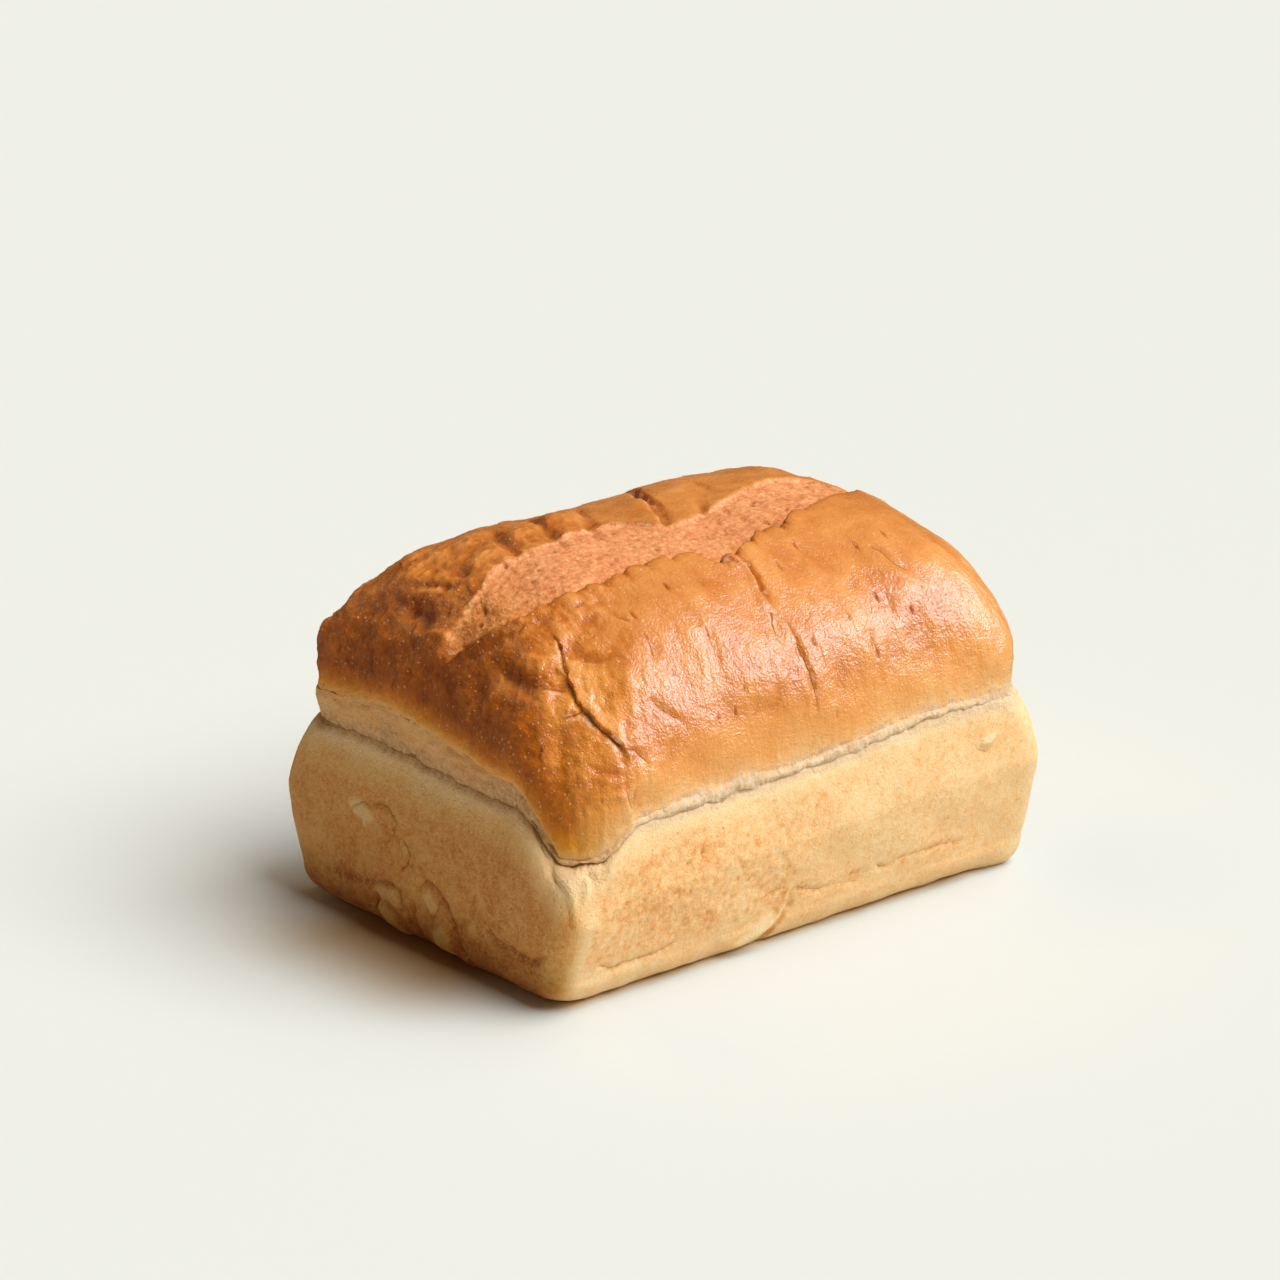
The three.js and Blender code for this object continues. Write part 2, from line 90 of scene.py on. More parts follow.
# What differs from side to side: front, back, left end, right end, and what the drooping corner adds;
# or along each side, as (place, size)
CRACK_DEPTH = (0.05, 0.6, 0.05, 0.5, 0.1)
CRACK_GAPE = (0.16, 0.5, 0.14, 0.4, 0)
BAND_RECESS = {
    "front": [(-75, 0.3), (-50, 0)],
    "back": [(-75, 0), (-30, 0.5)],
    "left": [(-55, 0.4), (-42, 0.8), (-20, 0.8), (5, 0.4), (20, 0.1), (36, -0.2), (55, -0.3)],
    "right": [(-55, 0.35), (55, 0.35)],
}
CRACK_CLOSES = (50, 60)  # along the front
DROOP_CORNER = (-73, -53)
DROOP_REACH = 13

# Heights of the crack and of the dome's brown edge along each side, as (place, height).
CRACK = {
    "front": [(-75, 35.5), (-66, 36.6), (-57, 43.4), (-35, 42.9), (5, 44.2), (42, 47.3), (75, 46)],
    "back": [(-75, 44), (-40, 46), (0, 44.5), (35, 46.5), (75, 45)],
    "left": [(-55, 35.4), (-45.4, 35.4), (-39.8, 42), (-34, 44.6), (-5, 45.6), (22, 46.6), (55, 44)],
    "right": [(-55, 46), (-20, 45), (10, 46.5), (35, 45), (55, 45)],
}
BROWN_EDGE = {
    "front": [(-75, 37), (-66, 38.4), (-57, 45.2), (-35, 47), (-22, 48), (-8, 46.6), (30, 49.4), (75, 49.5)],
    "back": [(-75, 52), (-40, 51), (0, 48.5), (35, 51), (75, 50)],
    "left": [(-55, 37.2), (-47, 37.6), (-40, 46), (-32, 51.2), (0, 55.2), (15, 57.3), (42, 54), (55, 53)],
    "right": [(-55, 49), (-20, 52), (10, 54), (35, 52), (55, 50)],
}
CREST_RISE = [(-75, 0), (-50, 0.2), (-20, 0.7), (20, 0), (50, -0.3), (75, -1.3)]
CORNER_ROUNDING = 1.4  # lines through those points are rounded over this much to each side

# The long cut in the top: the y of its front and back lips along X.
CUT_FRONT_LIP = [
    (-70, -0.5), (-64, -10), (-57, -16), (-47, -17.7), (-35, -19.4), (-24, -18.8), (-10, -20.2),
    (-5.5, -24), (4, -22.3), (15, -16.8), (20, -17.6), (27, -13.6), (38, -11.7), (51, -8.4), (63, 0),
]
CUT_BACK_LIP = [
    (-70, -0.5), (-61, -0.6), (-56, 0.6), (-46, 5.4), (-35, 4.2), (-14, 8), (-6, 5), (-2, -1.2),
    (6, -0.4), (12, 1.6), (30, 7.4), (43, 11.5), (54, 10.6), (63, 0),
]
CUT_START = CUT_FRONT_LIP[0][0]
CUT_END = CUT_FRONT_LIP[-1][0]
CUT_DEPTH_FRONT = 3.2
CUT_DEPTH_BACK = 1
CUT_EDGE = 1
CUT_END_RUN = 5
CUT_LOWEST = 62
LIP_SWELL = 1.3
LIP_SWELL_REACH = 7
CUT_TIP_RUN = 9  # the lips turn ragged over this much from the cut's tips
SCALLOP_LENGTH = 7.5
SCALLOP_HEIGHT = 1.5

# Grid of the skin
COLUMNS_ALONG = 300
FOOT_STEPS = 16
WALL_STEPS = 36
ROLL_STEPS = 32
CRACK_STEPS = 8
BAND_STEPS = 16
LIP_STEPS = 8
DOME_STEPS = 72
BASE_RINGS = 14
# Places on the UV map, in mm
UV_SECOND_STRIP = 160
UV_GAP = 4
UV_BASE = (80, 60)
UV_TOP = (225, 48)
UV_MARGIN = 2

# Rows of the dome's grid from front to back: where a stretch starts, and its steps
FRONT_LIP_ROW = -17.8
BACK_LIP_ROW = 5
ROWS = [
    (-40, 52), (FRONT_LIP_ROW - CUT_EDGE, 8), (FRONT_LIP_ROW + CUT_EDGE, 50),
    (BACK_LIP_ROW - CUT_EDGE, 8), (BACK_LIP_ROW + CUT_EDGE, 82), (40, 0),
]
ROW_BEND_RUN = 18


def groove(depth, half, *path, dark=0, swell=0, towards=(0, 0, 1), toast=0):
    """A soft groove through the path's points: its depth and half width, the strength of a thin torn line
    along it, a swell of the crust on the side that it is towards, and toasting. A negative depth is a ridge.
    """
    return {
        "depth": depth, "half": half, "path": np.array(path, float), "dark": dark, "swell": swell,
        "towards": np.array(towards, float), "toast": toast,
    }


# Cracks, creases and dents
CREASES = [
    # long crack in the front left shoulder, with its branches
    groove(0.2, 0.6, (-55.2, -27.6, 80.8), (-56.6, -30.8, 77.6), (-58.5, -33.9, 73.9), dark=0.8,
        swell=0.5, towards=(1, 0, 0.3)),
    groove(0.2, 0.55, (-58.5, -33.9, 73.9), (-59.1, -38, 70.5), (-59, -41.4, 67.8), (-57.6, -45.1, 64.8),
        (-55.1, -49.9, 60.9), dark=1, swell=0.9, towards=(1, 0, 0.3)),
    groove(0.3, 1.3, (-55.1, -49.9, 60.9), (-52.2, -50.8, 60.5), (-50.3, -52.1, 56.7), dark=0.7,
        swell=0.3, towards=(1, 0, 0)),
    groove(0.2, 1, (-59.1, -40.9, 68.2), (-63, -38.5, 66.6), dark=0.7, swell=0.3, towards=(0, 1, 1)),
    groove(0.5, 1.2, (-59, -36, 72), (-61, -34.5, 72.4), (-64.5, -32, 73.4), dark=0.6),
    # fold in the middle of the front shoulder
    groove(1, 1, (-4.4, -24.2, 88), (0.3, -28, 86.4), (0.2, -32, 84.7), (-1, -37.7, 81), dark=1, swell=1,
        towards=(-1, 0, 0)),
    # pockets under the front lip
    groove(2, 1, (-7.2, -23.2, 87.6), (-4.8, -24.4, 87.6), (-2.4, -25.4, 87.4)),
    groove(2, 1, (18, -16.4, 88.8), (19.8, -19, 88.6)),
    groove(1.6, 1.4, (12.6, -14, 89), (15.6, -17, 88.8)),
    groove(1.8, 1.1, (-35, -17.2, 88.6), (-31, -18, 88.6), dark=0.6),
    groove(1.8, 1.1, (-59.4, -4.2, 83), (-57.6, -3, 83.6), dark=0.6),
    groove(2, 0.8, (22.8, -8.2, 89.7), (24.2, -10.4, 89.7), dark=0.6),
    groove(0.9, 1.7, (-68.3, -7, 72.8), (-65.1, -13.6, 77.4), (-59, -18.8, 82.1), (-53.4, -21.2, 84.6)),
    groove(0.3, 1.2, (-2.2, -39.6, 79.5), (-4.2, -44.3, 74.6), dark=0.9, swell=0.3, towards=(-1, 0, 0)),
    # short tears and dimples of the front
    groove(0.2, 1, (-37.8, -38.1, 79.9), (-38.1, -41.8, 76.6), dark=0.7),
    groove(0.2, 0.8, (-40.4, -27.9, 84.4), (-40, -29.6, 84), (-38.2, -33.1, 82.9), dark=0.5),
    groove(0.4, 1.1, (-18.5, -49, 68.2), (-18.4, -50.4, 64.9), dark=0.6),
    groove(0.3, 1.3, (0.4, -45.5, 73.2), (0.9, -48.6, 67), (1.3, -51.8, 59.9), dark=0.6, swell=0.4,
        towards=(1, 0, 0)),
    groove(0.4, 1.3, (22.3, -46.8, 72.1), (21.3, -50.2, 65.8), dark=0.5),
    groove(0.3, 1.2, (31.3, -42.4, 77.5), (31.1, -46.7, 72.6), dark=0.4),
    groove(0.4, 1.2, (36, -31, 84.6), (37.8, -33.6, 83.7), (38.3, -37.3, 81.5), (41, -40, 79), dark=0.5),
    groove(0.3, 1, (-56.6, -52.5, 52.4), (-54.8, -53.2, 46.9), dark=0.6, swell=0.7, towards=(-1, 0, 0)),
    groove(0.4, 1.1, (-44.4, -46.9, 69.5), (-40.6, -49.2, 65.8), (-37.4, -50.8, 62.7), dark=0.3),
    # folds, dents and hollows of the crust behind the cut
    groove(1.6, 1.05, (18, 38, 83), (15, 30, 87.5), (9.5, 21.5, 89.6), (7, 14.6, 90.4), dark=1, swell=0.6,
        towards=(1, 0, 0)),
    groove(1.1, 1.8, (7, 14.6, 90.4), (4.6, 9.7, 90.4), (2.2, 4, 90.5), (-0.8, -0.5, 90.5), dark=0.3,
        swell=0.6, towards=(-1, 0, 0)),
    groove(-1.5, 4.5, (-38, 15, 89.5), (-24, 17, 90), (-11, 18, 90)),
    groove(1.1, 1.7, (-5.7, 27, 88.8), (-16.5, 8.4, 90.9), (-17.9, 2.9, 90.9)),
    groove(1.3, 1.8, (-33, 26, 88.6), (-37.8, 15.5, 89.9), (-40.3, 6.7, 89.8)),
    groove(0.7, 1.5, (-60, 20, 83), (-57, 9, 85.5)),
    groove(0.7, 1.5, (26, 22, 90), (24.5, 12, 90.3)),
    groove(1.2, 1.8, (-22, 24, 89.4), (-26.4, 12.8, 90.7), (-29.1, 3.8, 90.6), swell=0.4,
        towards=(1, 0, 0)),
    groove(1.2, 1.7, (17, 8, 90.4), (13.4, 1.5, 90.2), dark=0.2),
    groove(1.1, 2, (-53.3, 14.8, 86.7), (-52.5, 8.2, 87.1), dark=0.3),
    # hollows of the left shoulder
    groove(2.3, 3.4, (-64.1, 19.8, 79.8), (-65.8, 8.1, 78.1)),
    groove(2.4, 2.8, (-67.1, -19.3, 73.8), (-66.8, -24.4, 73.2), (-65.7, -30.2, 72.6)),
    groove(1.1, 2.8, (-70, 1, 69.3), (-71.1, -7.6, 64.6)),
    groove(0.9, 2.4, (-69.6, -13, 71), (-71.2, -19, 66)),
    # ridges that run left from the tip of the cut
    groove(-0.7, 1.1, (-68, -0.8, 73.5), (-69.5, 3.7, 70.8), (-70.4, 7.9, 68.6), (-71.3, 10.9, 65.5)),
    groove(-0.6, 1.2, (-66.8, -1.4, 75.8), (-66.5, 2.5, 77), (-67.5, 7, 76)),
    groove(-0.6, 1.6, (-69, -5, 71.5), (-71, -9, 66.5), (-71.8, -11, 62)),
    # torn fold under the corner tongue
    groove(0.6, 1.4, (-71.2, -36.4, 45.3), (-71.1, -41.1, 41), (-71.6, -44.4, 36.4), dark=0.8),
    groove(0.5, 0.9, (-72, -44.6, 35.4), (-72.5, -45.6, 34.3), (-72.9, -48, 32.7), (-72.9, -49.3, 31.9),
        dark=0.5, swell=0.5, towards=(0, -1, 1)),
    groove(0.5, 0.9, (-68.6, -51.6, 35.2), (-67.3, -52.2, 34.8), (-66.6, -53.9, 33.5),
        (-67.5, -54.3, 31.6), dark=0.5, swell=0.5, towards=(-1, 0, 0.5)),
    groove(-0.5, 1.4, (-72.2, -50.5, 33.6), (-71.4, -52, 30), (-71.6, -52.6, 25)),
    groove(0.3, 1, (-72.7, -52, 28.9), (-73.1, -52.7, 23.7), dark=0.3),
    # left end wall: a flour pocket with its arcs, and creases
    groove(0.35, 0.7, (-75, 25.4, 27.2), (-75, 24.6, 30), (-75, 20.5, 32.4), (-75, 17.2, 32), dark=0.8,
        swell=0.4, towards=(0, -1, -1)),
    groove(0.4, 1, (-75, 17.6, 33), (-75, 11.7, 33.3), (-75, 8.2, 30.6), (-75, 9.1, 28),
        (-75, 12.9, 23.6), dark=0.7, swell=0.7, towards=(0, 1, -1), toast=0.15),
    groove(0.5, 0.84, (-75, 7.8, 27.7), (-75, 5.1, 26.7), (-75, 3.3, 24.1), (-75, 4.2, 21.3),
        (-75, 7.3, 18.6), dark=0.8, swell=0.8, towards=(0, 1, 0), toast=0.15),
    groove(0.3, 0.91, (-75, 25.2, 20.8), (-75, 26.5, 15.1), dark=0.3, toast=0.24),
    groove(0.6, 1, (-74.9, 34.9, 11), (-74.9, 29.2, 11), (-74.9, 23.2, 11.4), (-74.9, 17.3, 12.7),
        dark=0.4, toast=0.48),
    # left end wall: two tucks of dough at its foot
    groove(0.5, 0.84, (-74.9, 18.4, 11.7), (-74.9, 16.1, 13.6), (-74.9, 11.4, 15), (-74.9, 8.3, 13.8),
        (-74.9, 6.4, 10), dark=0.7, swell=1, towards=(0, 0, -1), toast=0.15),
    groove(1.6, 1.1, (-74.9, 16.2, 10.4), (-74.4, 18.4, 6.4), (-72.5, 20.6, 2.7), (-69, 21, 0), dark=0.5),
    groove(0.6, 0.91, (-74.9, 11.6, 9.2), (-74.6, 8, 6.6), (-73, 6.6, 3), dark=0.2),
    groove(0.8, 0.91, (-74.9, 0.6, 16.4), (-74.9, -2.3, 19.5), (-74.9, -5.9, 18.4), (-74.9, -9.6, 15.6),
        (-74.9, -12.1, 11.4), (-74, -15.4, 5), (-69, -16, 0), dark=0.7, swell=0.8, towards=(0, 1, -0.3),
        toast=0.25),
    groove(0.8, 0.7, (-74.9, -6.6, 15.9), (-74.9, -6.8, 13.4), (-74.9, -3.7, 9.8), (-74.9, -1.6, 9.6),
        dark=0.7),
    groove(1.1, 1, (-74.9, 2.6, 13.6), (-74.4, 3.6, 9), (-73.5, 2.5, 4), (-69, 1, 0), dark=0.3),
    groove(0.4, 1.2, (-74.9, -15.5, 12.6), (-74.9, -19.5, 16.9), (-74.9, -20.6, 23), dark=0.2,
        toast=0.32),
    groove(0.6, 0.91, (-74.9, -25.2, 15.8), (-74.9, -27.9, 12.6), (-74.9, -34.3, 12.6),
        (-74.9, -40.8, 11.6), (-74.8, -46.3, 14.6), dark=0.55, toast=0.56),
    groove(0.3, 1.4, (-75, -22, 27), (-75, -26, 22), (-74.9, -29, 15), toast=0.2),
    # front wall: low creases, the tuck in its foot, and a flake
    groove(0.5, 0.91, (-63.5, -51.6, 11), (-59.5, -50.7, 8.8), (-53.5, -50.8, 9), (-47.6, -50.8, 9.1),
        (-43.3, -51, 9.6), (-39.1, -51.3, 10.7), dark=0.6, toast=0.56),
    groove(0.9, 1.1, (-5.2, -51.9, 13), (-5.7, -50.9, 9.5), (-7.7, -50.3, 6.4), (-9.4, -49.6, 4),
        (-10.5, -45, 0), dark=0.2),
    groove(-0.9, 1.2, (-6.7, -52.4, 14.8), (-7.6, -51.7, 12.2), (-9.2, -50.8, 9), (-12, -50.3, 6.2),
        (-16.9, -49.6, 4.2), (-22, -48.7, 2.6)),
    groove(0.5, 1.1, (-14, -52, 12.2), (-17, -51, 9), (-23, -50.4, 7), toast=0.16),
    groove(0.3, 0.7, (-15, -51.6, 14), (-10.5, -52, 15.6), (-7.2, -52.3, 15.4), dark=0.4, toast=0.32),
    groove(0.5, 0.91, (-4.7, -52.3, 14.6), (-1.2, -52, 13.4), (3.2, -51.6, 11.8), (6.9, -51.6, 12),
        dark=0.5, toast=0.48),
    groove(0.3, 1, (6.9, -51.6, 12), (11.8, -51.4, 11.2), (17.6, -51.1, 10.1), dark=0.3, toast=0.24),
    groove(0.4, 1, (12.4, -51.6, 12.8), (16.8, -51.7, 12.2), dark=0.5, toast=0.48),
    groove(0.6, 0.77, (21.2, -51.6, 13.6), (23.4, -51.6, 12.2), (25.6, -51.7, 12.4), dark=0.8,
        toast=0.56),
    groove(0.35, 0.98, (25.6, -51.7, 12.4), (33, -51.7, 13.4), (41, -51.5, 12.9), (50, -51.5, 12.6),
        dark=0.35, toast=0.48),
    groove(-0.5, 0.56, (51.4, -54.9, 37.8), (54.5, -54.9, 36.6), (58.2, -54.8, 38.6)),
    groove(0.4, 0.7, (51, -54.9, 36), (54.5, -54.9, 34.6), (55.8, -54.8, 36), dark=0.4, toast=0.48),
    # right end
    groove(0.5, 1.6, (75, -22, 31), (75, -6, 27), (74.8, 4, 19), dark=0.5),
    groove(1, 1.9, (74.8, 16, 15), (74, 14, 4), (69, 13, 0), dark=0.5),
    groove(0.4, 1.2, (74.8, 30, 33), (75, 22, 36), (75, 14, 33), dark=0.5),
    groove(0.4, 1.4, (74.8, -40, 12), (74.8, -28, 10.5), (74.8, -15, 12.5), dark=0.5),
    groove(0.9, 1.8, (62, 14, 83.5), (67.5, 17, 76), (70.5, 15, 66), dark=0.8, swell=0.6,
        towards=(0, -1, 0)),
    groove(0.3, 1.1, (70.5, -22, 68), (72, -24, 60), dark=0.7),
    # back
    groove(0.5, 1.5, (34, 51.6, 12), (18, 51.6, 11), (4, 51.6, 12.4), dark=0.5),
    groove(0.4, 1.4, (-52, 51.6, 12), (-41, 51.6, 13.5), (-33, 51.6, 12), dark=0.4),
    groove(1, 1.7, (-16, 53, 16), (-14.5, 51, 6), (-14, 45, 0), dark=0.4),
    groove(0.9, 1.8, (-22, 39, 83), (-25, 46, 76), (-24, 51, 65), dark=0.9, swell=0.8, towards=(1, 0, 0)),
    groove(0.4, 1.2, (42, 41, 81), (44, 46.5, 74), dark=0.7),
    groove(0.3, 1, (8, 45, 77), (6.5, 49, 70), dark=0.6),
]
LINE_REACH = 1.6  # a torn line is known up to this far to each side
NO_LINE = 9.0  # the distance given where there is no torn line
LINE_TAPER = 3
CREASE_REACH = 9  # nothing changes further than this from a crease's points


def smear(at, size, turn, swell, pale=0, toast=0):
    """A patch of the crust: its centre, its radii along the wall and up, its heading, and what it adds to the
    height, the paleness and the toasting.
    """
    return {
        "at": np.array(at, float), "size": size, "turn": turn, "swell": swell, "pale": pale, "toast": toast,
    }


# Pale or toasted patches with a little swelling
PATCHES = [
    # flour pocket and wedge of the left end
    smear((-75, 21.4, 29.6), (4.4, 2.7), 0.25, 0.25, pale=1.2),
    smear((-75, 5.2, 25.6), (1.1, 2.6), -0.5, 0.2, pale=0.55),
    # its two tucks of dough
    smear((-74.6, 12, 11.4), (5.4, 2.4), 0.15, 0.8, pale=0.6),
    smear((-74.2, 12.5, 5), (5, 3.4), 0.6, 0.7, pale=0.75),
    smear((-74.6, -4.4, 14.6), (2.3, 4.2), -0.5, 0.7, pale=0.6),
    smear((-74, -8.4, 6.4), (4.2, 3.8), 0.4, 0.9, pale=0.8),
    smear((-75, -19.5, 13), (2.6, 3.4), 0.4, 0.3, pale=0.3),
    # toasted smears
    smear((-75, 27, 12.4), (11, 3), -0.25, 0, toast=0.4),
    smear((-74, -14, 9), (2.6, 5.5), 0.35, 0, toast=0.6),
    smear((-75, -35, 9.6), (10, 3.6), 0, 0, toast=0.4),
    smear((-14, -50.4, 6), (8, 2.6), 0.5, 0.2, pale=0.5),
    smear((16.5, -51.6, 12), (4, 2), 0.1, -0.2, toast=0.5),
    smear((-52, -51.2, 12), (13, 3), 0.1, 0, toast=0.25),
    smear((-2, -52, 12.5), (9, 3), -0.2, 0, toast=0.3),
    smear((36, -51.7, 12), (17, 2.6), 0.05, 0, toast=0.3),
    # pale dough under the drooping corner, and a flake
    smear((-71.2, -50.6, 31.5), (3.6, 3.2), 0, 0.3, pale=0.4),
    smear((55, -54.9, 38.2), (3.2, 1.1), 0.3, 0.2, pale=0.8),
    smear((75, 20, 31), (4.5, 1.8), 0.5, 0.4, pale=0.45),
    smear((74.6, 9, 9), (3, 5), 0.4, 0.7, pale=0.35),
    smear((-10, 51.4, 8), (6, 4), 0.2, 0.5, pale=0.6),
    smear((20, 51.6, 12.5), (16, 3), 0, 0, toast=0.4),
    smear((75, -28, 11.5), (12, 3), 0, 0, toast=0.4),
]

# Broad unevenness of the crust, as in the solid
WAVES = [
    {"length": 61, "heading": 0.35, "lean": 0.5, "height": 0.4},
    {"length": 37, "heading": 1.9, "lean": 0.8, "height": 0.3},
    {"length": 23, "heading": -0.7, "lean": 1.1, "height": 0.22},
]
WALL_WAVE_SHARE = 0.45


def smooth(low, high, value):
    share = np.clip((value - low) / (high - low), 0, 1)
    return share * share * (3 - 2 * share)


def lerp(start, end, share):
    return start + (end - start) * share


def through(points, place):
    """Straight lines through (place, value) points, level outside them, with their corners rounded."""
    at, values = zip(*points)
    taps = [np.interp(place + CORNER_ROUNDING * step, at, values) for step in (-1, -0.5, 0, 0.5, 1)]
    return sum(taps) / len(taps)


# ---------------------------------------------------------------------------------------- noise

GRADIENT_COUNT = 4096
draws = np.random.default_rng(20)
GRADIENTS = draws.normal(size=(GRADIENT_COUNT, 3))
GRADIENTS /= np.linalg.norm(GRADIENTS, axis=1)[:, None]
OFFSETS = draws.random(size=(GRADIENT_COUNT, 3))


def scramble(cells, seed):
    """A repeatable table index for each cell of a lattice."""
    x, y, z = (cells[:, k].astype(np.uint64) for k in range(3))
    mixed = (x * np.uint64(73856093)) ^ (y * np.uint64(19349663)) ^ (z * np.uint64(83492791))
    mixed = (mixed + np.uint64(seed * 7919)) * np.uint64(2654435761)
    return ((mixed >> np.uint64(15)) & np.uint64(GRADIENT_COUNT - 1)).astype(np.int64)


def noise(points, size, seed):
    """Gradient noise from about -1 to 1, with lumps of the given size in mm (one number or three)."""
    place = points / size
    cells = np.floor(place).astype(np.int64)
    inside = place - cells
    fade = inside**3 * (inside * (inside * 6 - 15) + 10)
    total = np.zeros(len(points))
    for corner in product((0, 1), repeat=3):
        step = np.array(corner)
        slope = ((inside - step) * GRADIENTS[scramble(cells + step, seed)]).sum(axis=1)
        total += slope * np.where(step, fade, 1 - fade).prod(axis=1)
    return total * 1.7


def noise_vectors(points, size, seed):
    return np.stack([noise(points, size, seed + axis) for axis in range(3)], axis=1)


def layered(points, size, seed, layers=3, keep=0.5):
    """Noise with finer and weaker layers added."""
    size = np.asarray(size, float)
    return sum(keep**k * noise(points, size / 2**k, seed + 31 * k) for k in range(layers))


def spots(points, size, seed):
    """Distance to the nearest of randomly placed points, in units of the spacing, and a number for each."""
    place = points / size
    cells = np.floor(place).astype(np.int64)
    nearest = np.full(len(points), 9.0)
    which = np.zeros(len(points))
    for corner in product((-1, 0, 1), repeat=3):
        cell = cells + np.array(corner)
        index = scramble(cell, seed)
        away = np.linalg.norm(cell + OFFSETS[index] - place, axis=1)
        closer = away < nearest
        nearest[closer] = away[closer]
        which[closer] = (index[closer] * 0.618034) % 1
    return nearest, which


# ---------------------------------------------------------------------------------------- shape


def outline(u, v, half_length, half_width, radius):
    """The point of a rounded rectangle for a point of the square's edge, with the outline's normal."""
    x = u * half_length
    y = v * half_width
    centre_x = np.clip(x, radius - half_length, half_length - radius)
    centre_y = np.clip(y, radius - half_width, half_width - radius)
    away = np.hypot(x - centre_x, y - centre_y)
    normal_x = (x - centre_x) / away
    normal_y = (y - centre_y) / away
    return centre_x + normal_x * radius, centre_y + normal_y * radius, normal_x, normal_y


def side_shares(normal_x, normal_y):
    """How much of the front, back, left and right side there is at an outline's normal."""
    squares = [np.maximum(part, 0) ** 2 for part in (-normal_y, normal_y, -normal_x, normal_x)]
    return np.array(squares)


def around(sides, x, y, shares):
    """A height given along each side, blended round the corners."""
    heights = [through(sides["front"], x), through(sides["back"], x)]
    heights += [through(sides["left"], y), through(sides["right"], y)]
    return sum(share * height for share, height in zip(shares, heights))


def section(share, power):
    return np.sqrt(np.maximum(1 - np.minimum(np.abs(share), 1) ** power, 0))


def dome_half_length(side):
    return HALF_LENGTH - np.where(side < 0, LEFT_SET_IN, RIGHT_SET_IN)


def dome_height(x, y, edge_height):
    half_length = dome_half_length(x)
    front = section(np.minimum(y - CREST_FRONT, 0) / (DOME_HALF_WIDTH + CREST_FRONT), FRONT_POWER)
    back = section(np.maximum(y - CREST_BACK, 0) / (DOME_HALF_WIDTH - CREST_BACK), BACK_POWER)
    end_power = lerp(LEFT_POWER, RIGHT_POWER, smooth(0, 50, x))
    vault = np.where(y < 0, front, back) * section(x / half_length, end_power)
    over_x = np.abs(x) - (half_length - DOME_CORNER_RADIUS)
    over_y = np.abs(y) - (DOME_HALF_WIDTH - DOME_CORNER_RADIUS)
    corner = np.hypot(np.maximum(over_x, 0), np.maximum(over_y, 0))
    outside = corner + np.minimum(np.maximum(over_x, over_y), 0)
    upright = UPRIGHT_RISE * np.sqrt(np.maximum(DOME_CORNER_RADIUS - outside, 0))
    soft = UPRIGHT_BLEND * smooth(0, 0.4, upright) + 1e-6
    blend = np.clip(0.5 + 0.5 * (upright - vault) / soft, 0, 1)
    rise = np.clip(lerp(upright, vault, blend) - soft * blend * (1 - blend), 0, 1)
    return lerp(edge_height, CREST + through(CREST_RISE, x), rise)


def line_noise(x, size, seed):
    """Noise along a line."""
    points = np.stack([x, np.full_like(x, 0.37 * size), np.full_like(x, 0.61 * size)], axis=1)
    return noise(points, size, seed)


def lip_lumps(x):
    """Rounded lumps along the front lip, from 0 in the notches between them to 1."""
    run = x + 3.6 * line_noise(x, 11, 5) + 0.8 * line_noise(x, 4, 6)
    return np.abs(np.sin(np.pi * run / SCALLOP_LENGTH)) ** 0.7 * (0.8 + 0.5 * line_noise(x, 10, 7))


def lumpiness(x):
    return smooth(-58, -44, x) * (1 - smooth(26, 44, x)) * np.clip(0.7 + 0.5 * line_noise(x, 13, 8), 0, 1)


def lip_line(points, x, ragged):
    """A lip of the cut through its points, ragged except at the cut's tips."""
    ends = smooth(0, CUT_TIP_RUN, x - CUT_START) * smooth(0, CUT_TIP_RUN, CUT_END - x)
    return through(points, x) + ends * ragged


def front_lip(x):
    """The front lip of the cut: rounded lumps with sharp notches between them."""
    flat = np.ravel(x)
    ragged = 0.35 * line_noise(flat, 2.6, 11) + 0.25 * line_noise(flat, 1.3, 12)
    ragged += SCALLOP_HEIGHT * lumpiness(flat) * (lip_lumps(flat) - 0.5)
    return lip_line(CUT_FRONT_LIP, flat, ragged).reshape(np.shape(x))


def back_lip(x):
    flat = np.ravel(x)
    ragged = 0.5 * line_noise(flat, 4.2, 21) + 0.3 * line_noise(flat, 1.6, 22)
    return lip_line(CUT_BACK_LIP, flat, ragged).reshape(np.shape(x))


column_lines = np.linspace(-1, 1, COLUMNS_ALONG + 1)
WIDEST_ROW = ROWS[-1][0]
row_lines = np.concatenate(
    [np.linspace(start, ROWS[k + 1][0], steps, endpoint=False) for k, (start, steps) in enumerate(ROWS[:-1])]
    + [[WIDEST_ROW]]
) / WIDEST_ROW
ALONG = len(column_lines) - 1
ACROSS = len(row_lines) - 1


def lip_edges(front, back):
    """The lines just before and past each lip."""
    return [front - CUT_EDGE, front + CUT_EDGE, back - CUT_EDGE, back + CUT_EDGE]


CUT_ROWS = lip_edges(FRONT_LIP_ROW, BACK_LIP_ROW)


def follow_cut(x, y, rows_at):
    """Moves the dome's grid in y, so that its rows at the cut run along the lips."""
    hold = smooth(0, ROW_BEND_RUN, x - CUT_START) * smooth(0, ROW_BEND_RUN, CUT_END - x)
    lips = lip_edges(front_lip(x), back_lip(x))
    edge = np.full_like(x, DOME_HALF_WIDTH)
    before = [-edge, *rows_at, edge]
    after = [-edge, *[lerp(row, lip, hold) for row, lip in zip(rows_at, lips)], edge]
    moved = after[0].copy()
    for k in range(len(before) - 1):
        share = np.clip((y - before[k]) / (before[k + 1] - before[k]), 0, 1)
        moved += share * (after[k + 1] - after[k])
    return moved


